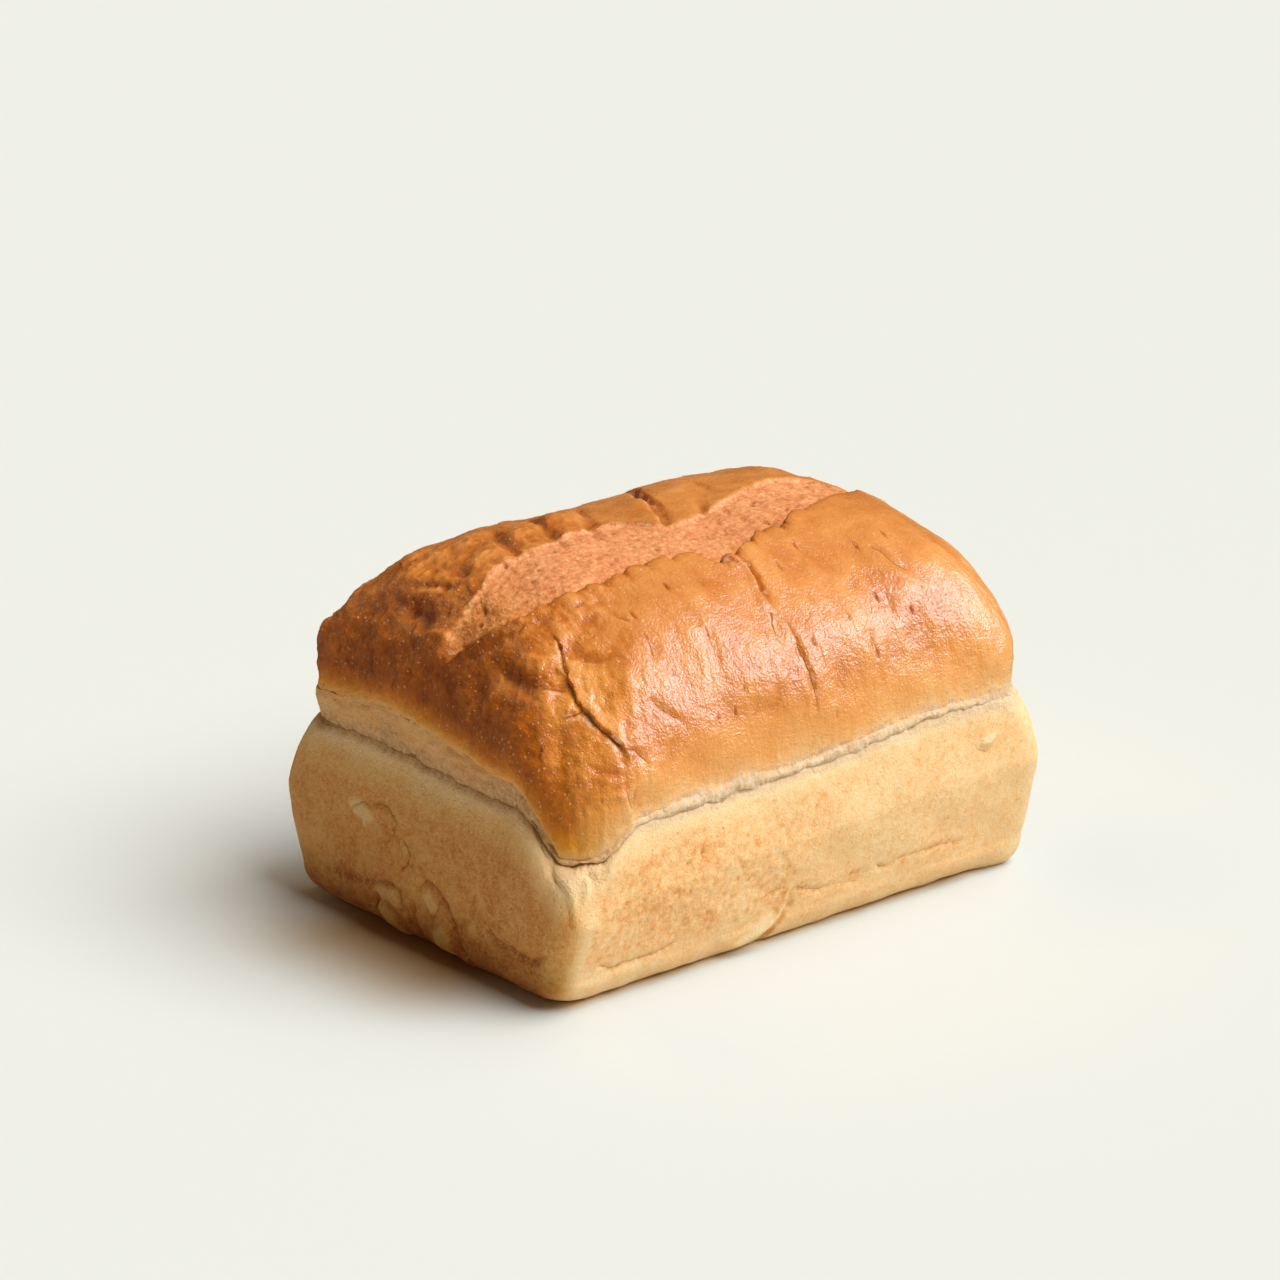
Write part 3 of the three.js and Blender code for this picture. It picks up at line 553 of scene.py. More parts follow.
def square_edge():
    """The outline of the square from -1 to 1, counter-clockwise from its front left corner."""
    ones_along = np.ones(ALONG)
    ones_across = np.ones(ACROSS)
    front = np.stack([column_lines[:-1], -ones_along])
    right = np.stack([ones_across, row_lines[:-1]])
    back = np.stack([column_lines[:0:-1], ones_along])
    left = np.stack([-ones_across, row_lines[:0:-1]])
    return np.concatenate([front, right, back, left], axis=1)


def droop(x, y):
    """1 at the corner where the dome slid over the tin's edge, falling to 0."""
    away = np.hypot(x - DROOP_CORNER[0], y - DROOP_CORNER[1])
    return np.exp(-((away / DROOP_REACH) ** 2))


def columns():
    """The upright columns of the skin, and what is known of each level: arrays of levels by columns."""
    u, v = square_edge()
    plan_x, plan_y, normal_x, normal_y = outline(u, v, HALF_LENGTH, HALF_WIDTH, WALL_CORNER_RADIUS)
    shares = side_shares(normal_x, normal_y)
    plan = np.stack([plan_x, plan_y, np.zeros_like(plan_x)], axis=1)
    corner = droop(plan_x, plan_y)

    def varied(values):
        return sum(share * value for share, value in zip(shares, values[:4])) + corner * values[4]

    jag = 0.6 * noise(plan, 5.5, 41) + 0.32 * noise(plan, 2, 42) + 0.18 * noise(plan, 0.9, 43)
    plain_crack = around(CRACK, plan_x, plan_y, shares)
    crack = plain_crack + jag
    brown = around(BROWN_EDGE, plan_x, plan_y, shares)
    brown += (0.7 * noise(plan, 8, 44) + 0.35 * noise(plan, 2.6, 45)) * (1 - 0.6 * corner)
    brown = np.maximum(brown, crack + lerp(1.4, 0.6, corner))
    held = smooth(-0.55, 0.25, noise(plan, 3.4, 46) + 0.5 * noise(plan, 1.2, 47) - 0.25 * shares[2])
    held = np.maximum(held, smooth(0.3, 0.8, corner))
    closed = smooth(*CRACK_CLOSES, plan_x) * smooth(-30, -45, plan_y)
    held *= 1 - closed
    crack_depth = varied(CRACK_DEPTH) * lerp(0.25, 1, held) * (1 - 0.95 * closed)
    crack_gape = varied(CRACK_GAPE) * lerp(0.6, 1.15, held) * (1 - 0.7 * closed)
    recess = around(BAND_RECESS, plan_x, plan_y, shares)
    end_foot = np.where(u < 0, FOOT_INSET, RIGHT_FOOT_INSET)
    side_foot = lerp(FOOT_INSET, RIGHT_FOOT_INSET, smooth(0.75, 1, u))
    end_roll = np.where(u < 0, LEFT_ROLL, RIGHT_ROLL)
    end_set_in = np.where(u < 0, LEFT_SET_IN, RIGHT_SET_IN)

    levels = []

    def put(end_inset, side_inset, radius, height):
        x, y, _, _ = outline(u, v, HALF_LENGTH - end_inset, HALF_WIDTH - side_inset, radius)
        levels.append(np.stack([x, y, np.broadcast_to(height, x.shape)], axis=1))

    for i in range(FOOT_STEPS + 1):
        angle = lerp(FOOT_LEAN, math.pi / 2, i / FOOT_STEPS)
        inset = (1 - math.sin(angle)) / (1 - math.sin(FOOT_LEAN))
        height = FOOT_HEIGHT * (1 - math.cos(angle) / math.cos(FOOT_LEAN))
        put(END_TAPER + end_foot * inset, SIDE_TAPER + side_foot * inset, WALL_CORNER_RADIUS, height)
    widest = crack * WIDEST_AT
    for i in range(1, WALL_STEPS + 1):
        up = i / WALL_STEPS
        taper = (1 - up) ** TAPER_POWER
        put(END_TAPER * taper, SIDE_TAPER * taper, WALL_CORNER_RADIUS, lerp(FOOT_HEIGHT, widest, up))
    for i in range(1, ROLL_STEPS + 1):
        angle = i / ROLL_STEPS * math.pi / 2
        roll = 1 - abs(math.cos(angle)) ** ROLL_POWER
        radius = lerp(WALL_CORNER_RADIUS, DOME_CORNER_RADIUS, roll)
        climb = math.sin(angle) ** ROLL_POWER
        edge = plain_crack + jag * smooth(0.9, 1, climb)
        height = lerp(widest, edge - crack_gape / 2, climb)
        put(end_roll * roll, SIDE_ROLL * roll, radius, height)
    for i in range(1, CRACK_STEPS + 1):
        up = i / CRACK_STEPS * 2 - 1
        inset = crack_depth * (1 - abs(up) ** 1.6)
        put(end_roll + inset, SIDE_ROLL + inset, DOME_CORNER_RADIUS, crack + up * crack_gape / 2)
    band_top = brown - 0.5
    for i in range(1, BAND_STEPS + 1):
        up = i / BAND_STEPS
        lean = smooth(0, 1, up)
        bulge = 0.45 * math.sin(math.pi * up) * (1 - closed)
        end_inset = lerp(end_roll, end_set_in + recess, lean) - bulge
        side_inset = lerp(SIDE_ROLL, SIDE_SET_IN + recess, lean) - bulge
        put(end_inset, side_inset, DOME_CORNER_RADIUS, lerp(crack + crack_gape / 2, band_top, up))
    for i in range(1, LIP_STEPS + 1):
        angle = i / LIP_STEPS * math.pi / 2
        back = recess * (1 - math.sin(angle))
        height = band_top + LIP_ROUND * (1 - math.cos(angle))
        put(end_set_in + back, SIDE_SET_IN + back, DOME_CORNER_RADIUS, height)
    dome_foot = brown + LIP_HEIGHT
    for i in (1, 2, 3):
        put(end_set_in, SIDE_SET_IN, DOME_CORNER_RADIUS, lerp(band_top + LIP_ROUND, dome_foot, i / 3))
    for i in range(1, DOME_STEPS + 1):
        inset = TOP_FACE_INSET * (i / DOME_STEPS) ** 2
        radius = DOME_CORNER_RADIUS + RADIUS_GROWTH * inset
        half_width = DOME_HALF_WIDTH - inset
        x, plain_y, _, _ = outline(u, v, dome_half_length(u) - inset, half_width, radius)
        y = follow_cut(x, plain_y, [np.full_like(x, row / WIDEST_ROW * half_width) for row in CUT_ROWS])
        levels.append(np.stack([x, y, dome_height(x, y, dome_foot)], axis=1))
    count = len(levels)
    facts = {
        "over_crack": np.stack([level[:, 2] - crack for level in levels]),
        "over_brown": np.stack([level[:, 2] - brown for level in levels]),
        "plan_x": np.broadcast_to(plan_x, (count, len(u))),
        "plan_y": np.broadcast_to(plan_y, (count, len(u))),
        "held": np.broadcast_to(held, (count, len(u))),
        "droop": np.broadcast_to(corner, (count, len(u))),
    }
    for k, name in enumerate(SIDES):
        facts[name] = np.broadcast_to(shares[k], (count, len(u)))
    return np.stack(levels), facts


def top_plan(u, v):
    """The plan of a point inside the top face, blended from the points in line with it on the face's edge."""
    radius = DOME_CORNER_RADIUS + RADIUS_GROWTH * TOP_FACE_INSET
    half_width = DOME_HALF_WIDTH - TOP_FACE_INSET

    def edge(p, q):
        x, y, _, _ = outline(p, q, dome_half_length(p) - TOP_FACE_INSET, half_width, radius)
        return np.stack([x, y])

    along = (u + 1) / 2
    across = (v + 1) / 2
    one = np.ones_like(u)
    left, right = edge(-one, v), edge(one, v)
    front, back = edge(u, -one), edge(u, one)
    corners = lerp(
        lerp(edge(-one, -one), edge(one, -one), along), lerp(edge(-one, one), edge(one, one), along), across
    )
    return lerp(left, right, along) + lerp(front, back, across) - corners


def top_face():
    """The inner points of the top face, with what is known of them."""
    u, v = (grid.ravel() for grid in np.meshgrid(column_lines[1:-1], row_lines[1:-1], indexing="ij"))
    x, plain_y = top_plan(u, v)
    rows_at = [top_plan(u, np.full_like(u, row / WIDEST_ROW))[1] for row in CUT_ROWS]
    y = follow_cut(x, plain_y, rows_at)
    share = np.maximum(np.maximum(np.abs(u), np.abs(v)), 1e-6)
    plan_x, plan_y, normal_x, normal_y = outline(
        u / share, v / share, HALF_LENGTH, HALF_WIDTH, WALL_CORNER_RADIUS
    )
    shares = side_shares(normal_x, normal_y)
    brown = around(BROWN_EDGE, plan_x, plan_y, shares)
    points = np.stack([x, y, dome_height(x, y, brown + LIP_HEIGHT)], axis=1)
    facts = {
        "over_crack": points[:, 2] - around(CRACK, plan_x, plan_y, shares),
        "over_brown": points[:, 2] - brown,
        "plan_x": plan_x, "plan_y": plan_y, "held": np.ones_like(x), "droop": np.zeros_like(x),
    }
    for k, name in enumerate(SIDES):
        facts[name] = shares[k]
    return points, facts


def base_rings(foot_ring):
    """Rings of the flat base inside the foot's lowest ring, and its middle."""
    shares = 1 - np.arange(1, BASE_RINGS) / BASE_RINGS
    rings = [foot_ring * share for share in shares]
    return np.concatenate([*rings, np.zeros((1, 3))])


def skin():
    """The plain skin as points, quads, triangles and facts, with a UV map laid out by side."""
    levels, facts = columns()
    level_count, count, _ = levels.shape
    top, top_facts = top_face()
    base = base_rings(levels[0])
    points = np.concatenate([levels.reshape(-1, 3), base, top])
    known = {}
    for name, values in facts.items():
        low = -99.0 if name.startswith("over") else 0.0
        known[name] = np.concatenate([values.ravel(), np.full(len(base), low), top_facts[name]])

    around_at = np.arange(count)
    following = (around_at + 1) % count
    quads = []
    corners = []  # the place of each quad's corners in the UV map

    # walls and dome, one UV strip for each side
    run = np.linalg.norm(np.diff(levels.mean(axis=0)[np.r_[around_at, 0]][:, :2], axis=0), axis=1)
    climb = np.r_[0, np.cumsum(np.linalg.norm(np.diff(levels, axis=0), axis=2).mean(axis=1))]
    side_starts = np.array([0, ALONG, ALONG + ACROSS, 2 * ALONG + ACROSS])
    side_of = np.searchsorted(side_starts, around_at, side="right") - 1
    reach = np.r_[0, np.cumsum(run)]
    strip_height = climb[-1] + UV_GAP
    strip_at = np.array(list(product((0, strip_height), (0, UV_SECOND_STRIP))), float)[:, ::-1]
    left_u = strip_at[side_of, 0] + reach[around_at] - reach[side_starts[side_of]]
    right_u = left_u + run
    for level in range(level_count - 1):
        low, high = level * count, (level + 1) * count
        quads.append(np.stack([low + around_at, low + following, high + following, high + around_at], 1))
        v0 = strip_at[side_of, 1] + climb[level]
        v1 = strip_at[side_of, 1] + climb[level + 1]
        corners.append(np.stack([left_u, v0, right_u, v0, right_u, v1, left_u, v1], 1).reshape(-1, 4, 2))

    # base
    base_start = level_count * count
    base_at = np.array([UV_BASE[0], 2 * strip_height + UV_BASE[1]])
    rings = [around_at, *[base_start + ring * count + around_at for ring in range(BASE_RINGS - 1)]]
    for outer, inner in zip(rings[:-1], rings[1:]):
        quads.append(np.stack([np.roll(outer, -1), outer, inner, np.roll(inner, -1)], 1))
        corners.append(points[quads[-1]][:, :, :2] + base_at)
    centre = base_start + (BASE_RINGS - 1) * count
    triangles = np.stack([np.roll(rings[-1], -1), rings[-1], np.full(count, centre)], 1)
    triangle_corners = points[triangles][:, :, :2] + base_at

    # top face: its outermost points are the columns' last ones
    top_start = centre + 1
    last_level = (level_count - 1) * count
    index = np.zeros((ALONG + 1, ACROSS + 1), int)
    index[1:-1, 1:-1] = top_start + np.arange((ALONG - 1) * (ACROSS - 1)).reshape(ALONG - 1, ACROSS - 1)
    i = np.arange(ALONG + 1)
    j = np.arange(ACROSS + 1)
    index[ALONG, :] = last_level + ALONG + j
    index[:, ACROSS] = last_level + 2 * ALONG + ACROSS - i
    index[0, :] = last_level + (2 * ALONG + 2 * ACROSS - j) % count
    index[:, 0] = last_level + i
    face = np.stack([index[:-1, :-1], index[1:, :-1], index[1:, 1:], index[:-1, 1:]], axis=2).reshape(-1, 4)
    quads.append(face)
    corners.append(points[face][:, :, :2] + np.array([UV_TOP[0], 2 * strip_height + UV_TOP[1]]))
    return {
        "points": points, "known": known, "quads": np.concatenate(quads), "triangles": triangles,
        "quad_uvs": np.concatenate(corners), "triangle_uvs": triangle_corners,
    }


def vertex_normals(points, quads, triangles):
    normals = np.zeros_like(points)
    diagonals = points[quads[:, 2]] - points[quads[:, 0]], points[quads[:, 3]] - points[quads[:, 1]]
    for faces, facing in (
        (quads, np.cross(*diagonals)),
        (triangles, np.cross(points[triangles[:, 1]] - points[triangles[:, 0]],
                             points[triangles[:, 2]] - points[triangles[:, 0]])),
    ):
        for corner in range(faces.shape[1]):
            for axis in range(3):
                normals[:, axis] += np.bincount(faces[:, corner], facing[:, axis], len(points))
    return normals / np.maximum(np.linalg.norm(normals, axis=1), 1e-12)[:, None]


# ---------------------------------------------------------------------------------------- relief


def wave_relief(points):
    share = lerp(WALL_WAVE_SHARE, 1, smooth(40, 60, points[:, 2]))
    total = 0
    for wave in WAVES:
        run = points @ np.array([math.cos(wave["heading"]), math.sin(wave["heading"]), wave["lean"]])
        total = total + wave["height"] * np.sin(2 * math.pi * run / wave["length"])
    return share * total


def cut_facts(points):
    """How far a point lies past the cut's front lip and before its back lip, and where there is a cut."""
    x, y, z = points.T
    fade = smooth(0, CUT_END_RUN, x - CUT_START) * smooth(0, CUT_END_RUN, CUT_END - x) * (z > CUT_LOWEST)
    return y - front_lip(x), back_lip(x) - y, fade


def cut_relief(x, past_front, before_back, fade):
    inside = smooth(-CUT_EDGE, CUT_EDGE, past_front) * smooth(-CUT_EDGE, CUT_EDGE, before_back)
    across = np.clip(past_front / np.maximum(past_front + before_back, CUT_EDGE), 0, 1)
    floor = lerp(CUT_DEPTH_FRONT, CUT_DEPTH_BACK, across)
    lumps = lerp(1, 0.1 + 1.4 * lip_lumps(x), lumpiness(x) * np.exp(-((past_front / 4.2) ** 2)))
    lumps *= 1 - 0.8 * smooth(36, 54, x)
    swell = LIP_SWELL * lumps * np.exp(-((past_front / LIP_SWELL_REACH) ** 2)) * (1 - inside)
    return fade * (swell - inside * floor)


def path_distance(points, path):
    """For each point the nearest place on the path: distance, offset, heading and run to the path's end."""
    nearest = np.full(len(points), np.inf)
    offset = np.zeros_like(points)
    heading = np.zeros_like(points)
    reached = np.zeros(len(points))
    passed = 0
    for start, end in zip(path[:-1], path[1:]):
        run = end - start
        length = np.linalg.norm(run)
        along = np.clip((points - start) @ run / length**2, 0, 1)
        away = points - start - along[:, None] * run
        distance = np.linalg.norm(away, axis=1)
        closer = distance < nearest
        nearest[closer] = distance[closer]
        offset[closer] = away[closer]
        heading[closer] = run / length
        reached[closer] = passed + along[closer] * length
        passed += length
    return nearest, offset, heading, np.minimum(reached, passed - reached)


def add_creases(points, warped, normals, relief, line, torn, toast, painted_crease_shade):
    """Adds every crease: relief, toasting, painted shade, and its torn line as a signed distance and a
    strength.
    """
    for crease in CREASES:
        path = crease["path"]
        low, high = path.min(axis=0) - CREASE_REACH, path.max(axis=0) + CREASE_REACH
        place = np.flatnonzero(np.all((points > low) & (points < high), axis=1))
        away, offset, heading, from_end = path_distance(warped[place], path)
        lift = (offset * normals[place]).sum(axis=1)
        offset = offset - lift[:, None] * normals[place]
        away = np.linalg.norm(offset, axis=1) + 6 * smooth(2, 5, np.abs(lift))
        half = crease["half"]
        taper = smooth(-0.5, LINE_TAPER, from_end)
        change = -crease["depth"] * lerp(0.4, 1, taper) * np.exp(-((away / half) ** 2))
        if crease["swell"]:
            towards = crease["towards"]
            side = offset @ (towards / np.linalg.norm(towards)) / half
            change += crease["swell"] * smooth(-0.1, 0.9, side) * np.exp(-((away / max(3.5 * half, 3)) ** 2))
        relief[place] += change
        toast[place] += crease["toast"] * taper * np.exp(-((away / (1.1 * half)) ** 2))
        # painted shade in the crease, darkest along its middle
        shade = np.clip(0.6 * crease["depth"] / half, 0, 0.9) * lerp(0.4, 1, taper)
        painted_crease_shade[place] = np.maximum(painted_crease_shade[place], shade * np.exp(-((away / (0.9 * half)) ** 2)))
        strength = crease["dark"] * smooth(0, 0.6 * LINE_TAPER, from_end)
        strength *= 1 - smooth(1, LINE_REACH, away)
        nearer = (away < np.abs(line[place])) & (strength > 0)
        hand = np.where((np.cross(heading, offset) * normals[place]).sum(axis=1) < 0, -1, 1)
        line[place[nearer]] = (hand * away)[nearer]
        torn[place[nearer]] = strength[nearer]


def add_patches(points, ragged, relief, pale, toast):
    """Adds every patch to the arrays of relief, paleness and toasting."""
    for patch in PATCHES:
        centre = patch["at"]
        on_end = abs(centre[0]) > abs(centre[1]) * HALF_LENGTH / HALF_WIDTH
        along = points[:, 1] - centre[1] if on_end else points[:, 0] - centre[0]
        depth = points[:, 0] - centre[0] if on_end else points[:, 1] - centre[1]
        up = points[:, 2] - centre[2]
        turn = patch["turn"]
        p = (along * math.cos(turn) + up * math.sin(turn)) / patch["size"][0]
        q = (up * math.cos(turn) - along * math.sin(turn)) / patch["size"][1]
        away = np.hypot(p, q) + 0.3 * ragged
        near = np.abs(depth) < 8
        relief += near * patch["swell"] * (1 - smooth(0.5, 1.15, away))
        pale += near * patch["pale"] * (1 - smooth(0.6, 1.1, away))
        toast += near * 0.4 * patch["toast"] * (1 - smooth(0.2, 1.3, away))


def shaped(loaf):
    """The loaf's final points, with the masks that colour it."""
    points, known = loaf["points"], loaf["known"]
    x, y, z = points.T
    quads, triangles = loaf["quads"], loaf["triangles"]
    normals = vertex_normals(points, quads, triangles)
    over_brown, over_crack = known["over_brown"], known["over_crack"]
    dome = smooth(-0.5, 1.5, over_brown)
    ends = known["left"] + known["right"]
    off_foot = smooth(0, 2 * FOOT_HEIGHT, z)
    plan = np.stack([known["plan_x"], known["plan_y"], z], axis=1)

    # first the shape that the solid has too
    past_front, before_back, fade = cut_facts(points)
    relief = wave_relief(points) * off_foot + cut_relief(x, past_front, before_back, fade)
    in_cut = np.minimum(past_front, before_back) - 3 * (1 - fade)
    cut = smooth(-0.7, 0.7, in_cut)
    warped = points + 0.4 * noise_vectors(points, 4.5, 51) + 0.25 * noise_vectors(points, 1.7, 54)
    ragged = layered(points, 3.2, 57)
    line = np.full(len(points), NO_LINE)
    torn, pale, toast, painted_crease_shade = np.zeros((4, len(points)))
    add_creases(points, warped, normals, relief, line, torn, toast, painted_crease_shade)
    add_patches(points, ragged, relief, pale, toast)
    outward = normals.copy()
    outward[z < 0.01, 2] = 0
    formed = points + outward * relief[:, None]

    # then the fine relief, along the formed skin's own normals
    normals = vertex_normals(formed, quads, triangles)
    crust = dome * (1 - cut)
    on_end = (ends > 0.5)[:, None]

    def down_slope(across, along):
        """Places counted in lumps that are narrow across the slope and long down it."""
        return points / np.where(on_end, [along, across, along], [across, along, along])

    rough = smooth(-35, -62, x) * smooth(56, 66, z)
    on_slope = smooth(50, 62, z) * (1 - smooth(84, 89, z))
    lumps = 0.3 * noise(points, 8.5, 61) + 0.15 * noise(points, 4, 62)
    crags = 0.7 * noise(points, 9, 60) - 0.8 * np.abs(noise(points, 6.5, 69)) + 0.25
    pleats = noise(down_slope(4.2, 16), 1, 63)
    wrinkles = noise(down_slope(1.7, 4.2), 1, 64)
    mark_away, mark_number = spots(down_slope(2.4, 10), 1, 65)
    mark = (1 - smooth(0.06, 0.22, mark_away)) * (mark_number > lerp(0.88, 0.72, on_slope))
    grain_away, grain_number = spots(points, 2.7, 70)
    grains = (1 - smooth(0.08, 0.22, grain_away)) * (grain_number > lerp(0.75, 0.35, smooth(-30, -60, x)))
    fine = (0.7 + 0.6 * smooth(10, 40, y)) * lumps + rough * crags
    calm = (1 - 0.8 * rough) * (1 - 0.75 * known["left"])
    fine += calm * (lerp(0.05, 0.18, on_slope) * pleats - lerp(0.03, 0.13, on_slope) * np.abs(wrinkles))
    fine += 0.1 * noise(points, 3, 68) + 0.04 * noise(points, 1.3, 67)
    leftmost = np.maximum(known["left"], smooth(-38, -62, x))
    fine += leftmost * (0.25 * noise(points, 5, 66) - 0.45 * np.abs(noise(points, 3.2, 100)))
    fine += leftmost * 0.26 * noise(points, 1.8, 102)
    fine = crust * (fine - 0.36 * mark + 0.14 * grains)

    # crumb of the cut, palest where it is freshly torn under the front lip
    fibre = layered(points, (2.2, 1.1, 1.1), 71, 3, 0.6)
    holes, hole_number = spots(points, 2.6, 72)
    hole = (1 - smooth(0.1, 0.3, holes)) * (hole_number > 0.86)
    fine += cut * (0.24 * fibre - 0.6 * hole + 0.3 * noise(points, 5, 73) + 0.16 * noise(points, 2.4, 75))
    fresh = cut * (1 - smooth(0.8, 3.4, past_front + 1.3 * noise(points, 2.4, 74)))
    fresh *= smooth(-66, -60, x) * (1 - smooth(-42, -34, x)) + smooth(-14, -8, x) * (1 - smooth(20, 28, x))

    # torn band over the crack
    band = smooth(-0.2, 0.3, over_crack) * (1 - smooth(-0.6, 0.6, over_brown))
    strands = layered(plan, (1.1, 1.1, 4), 81, 2)
    lumpy = lerp(0.32, 0.4, known["left"]) * noise(points, (3.4, 3.4, 3), 82)
    tears = layered(points, (6, 6, 1.5), 83, 2) * known["left"]
    fine += band * (lerp(0.16, 0.06, known["left"]) * strands + lumpy + 0.3 * tears)
    skirt_reach = lerp(3.4, 6.5, known["front"] * smooth(15, 60, x))
    skirt = smooth(-skirt_reach, -0.5, over_crack) * (1 - smooth(0, 0.4, over_crack)) * (1 - known["droop"])
    fine += skirt * (0.08 * strands)

    # walls: pores, dimples in slanting rows, soft lumps
    wall = (1 - smooth(-3, -0.5, over_crack)) * smooth(1.5, 6, z)
    to_corner = np.hypot(HALF_LENGTH - np.abs(known["plan_x"]), HALF_WIDTH - np.abs(known["plan_y"]))
    edge_strip = 1 - smooth(6, 9, to_corner + 1.2 * noise(points, 6, 90) + 0.6 * noise(points, 2, 89))
    edge_strip *= 1 - smooth(-6, 0, over_crack)
    porous = wall * (1 - edge_strip) * smooth(6, 12, z)
    coarse = known["front"] * (1 - smooth(-12, 6, x)) * smooth(9, 13, z) * (1 - smooth(33, 39, z))
    coarse *= 1 - edge_strip
    pores, pore_number = spots(points / [1, 1, 1.4], 2.4, 91)
    pore = (1 - smooth(0.3, 1, pores / lerp(0.12, 0.38, pore_number))) * (pore_number > 0.35) * porous
    slant = np.sin(2 * math.pi * (x * 0.63 - z * 0.78) / 3.1 + 1.3 * noise(points, 6, 92))
    slant *= known["front"] * smooth(10, 30, x) * (1 - smooth(62, 70, x)) * smooth(13, 18, z)
    slant *= smooth(-0.7, 0.3, noise(points, 9, 96)) * (1 - smooth(-9, -5, over_crack))
    slant *= smooth(-0.35, 0.25, noise(points, 2.2, 99))
    fine += wall * (0.08 * noise(points, 3, 93) + 0.3 * noise(points, 11, 94) + 0.13 * slant)
    fine += porous * 0.06 * noise(points, 1.1, 98)
    fine += porous * lerp(0.04, 0.2, coarse) * layered(points, 1.8, 97, 2)
    fine -= lerp(0.18 - 0.12 * known["left"], 0.32, coarse) * pore
    fine += (1 - smooth(5, 11, z)) * 0.35 * noise(points, 6, 95)
    fine *= lerp(0.7, 1, smooth(0, 3, z))
    fine -= 0.22 * torn * np.exp(-((line / 0.4) ** 2))
    outward = normals.copy()
    outward[z < 0.01, 2] = 0
    final = formed + outward * fine[:, None]
    final[:, 2] = np.maximum(final[:, 2], 0)

    streak = layered(plan, (1.5, 1.5, 9), 101, 2)
    masks = {
        "over_brown": over_brown + 1.4 * streak * lerp(0.4, 1, known["front"]),
        "over_crack": over_crack,
        "front": known["front"],
        "facing_left": smooth(0.15, 0.85, -normals[:, 0]),
        # painted light: the dome's right and the front's right part lighter
        "painted_light_right": np.maximum(smooth(0.2, 0.9, normals[:, 0]), 0.6 * known["front"] * smooth(35, 66, x)),
        "facing_back": smooth(0.1, 0.5, normals[:, 1]),
        "back_left": smooth(-5, -35, x) * smooth(0, 10, y) * smooth(76, 84, z),
        "height": z,
        "held": known["held"],
        "in_cut": in_cut,
        "line": line,
        "torn": torn,
        "skirt": skirt,
        "pale": np.clip(pale, 0, 1),
        "toast": toast,
        # painted shade in creases
        "painted_crease_shade": painted_crease_shade,
        "droop": known["droop"],
        "droop_skirt": known["droop"] * smooth(-14, -2, over_crack) * (1 - smooth(-1, 0, over_crack)),
        # painted shade along the front lip, with some of the lip's own browning
        "lip": (1 - cut) * fade * np.exp(-((past_front / 1.9) ** 2)),
        "spread_brown": known["left"] * smooth(-32, -8, known["plan_y"]),
        "back_lip": fade * smooth(-1, 1, past_front - before_back),
        "strip": edge_strip,
        "coarse": coarse,
        "slant": slant,
        "pore": pore,
        "mark": crust * mark,
        "grains": crust * grains,
        "fresh": fresh,
        # painted shade in the relief's hollows
        "hollow": np.clip(0.5 - fine, 0, 1),
        "hole": cut * hole,
    }
    return final, masks


# ---------------------------------------------------------------------------------------- mesh


def make_loaf():
    loaf = skin()
    points, masks = shaped(loaf)
    mesh = bpy.data.meshes.new("loaf_bread")
    quads, triangles = loaf["quads"], loaf["triangles"]
    corner_points = np.concatenate([quads.ravel(), triangles.ravel()])
    starts = np.concatenate([
        np.arange(len(quads)) * 4, 4 * len(quads) + np.arange(len(triangles)) * 3,
    ])
    mesh.vertices.add(len(points))
    mesh.vertices.foreach_set("co", (points * MM).astype(np.float32).ravel())
    mesh.loops.add(len(corner_points))
    mesh.loops.foreach_set("vertex_index", corner_points.astype(np.int32))
    mesh.polygons.add(len(starts))
    mesh.polygons.foreach_set("loop_start", starts.astype(np.int32))
    mesh.update(calc_edges=True)
    mesh.validate()
    mesh.shade_smooth()
    for name, values in masks.items():
        attribute = mesh.attributes.new(name, "FLOAT", "POINT")
        attribute.data.foreach_set("value", values.astype(np.float32))
    places = np.concatenate([loaf["quad_uvs"].reshape(-1, 2), loaf["triangle_uvs"].reshape(-1, 2)])
    places = places - places.min(axis=0) + UV_MARGIN
    places /= places.max() + UV_MARGIN
    layer = mesh.uv_layers.new(name="OFBake")
    layer.data.foreach_set("uv", places.astype(np.float32).ravel())
    piece = bpy.data.objects.new("loaf_bread", mesh)
    bpy.context.scene.collection.objects.link(piece)
    return piece


# ---------------------------------------------------------------------------------------- material


def colour(red, green, blue):
    """A display colour, 0 to 255, as the linear colour that shaders use."""
    parts = [part / 255 for part in (red, green, blue)]
    return tuple(p / 12.92 if p <= 0.04045 else ((p + 0.055) / 1.055) ** 2.4 for p in parts) + (1.0,)


class Tone:
    """A value or colour in a material, of which sums and products can be made."""

    def __init__(self, look, socket):
        self.look = look
        self.socket = socket

    def __add__(self, other):
        return self.look.math("ADD", self, other)

    def __sub__(self, number):
        return self + -number

    def __mul__(self, other):
        return self.look.math("MULTIPLY", self, other)

    def __abs__(self):
        return self.look.math("ABSOLUTE", self)

    __radd__ = __add__
    __rmul__ = __mul__


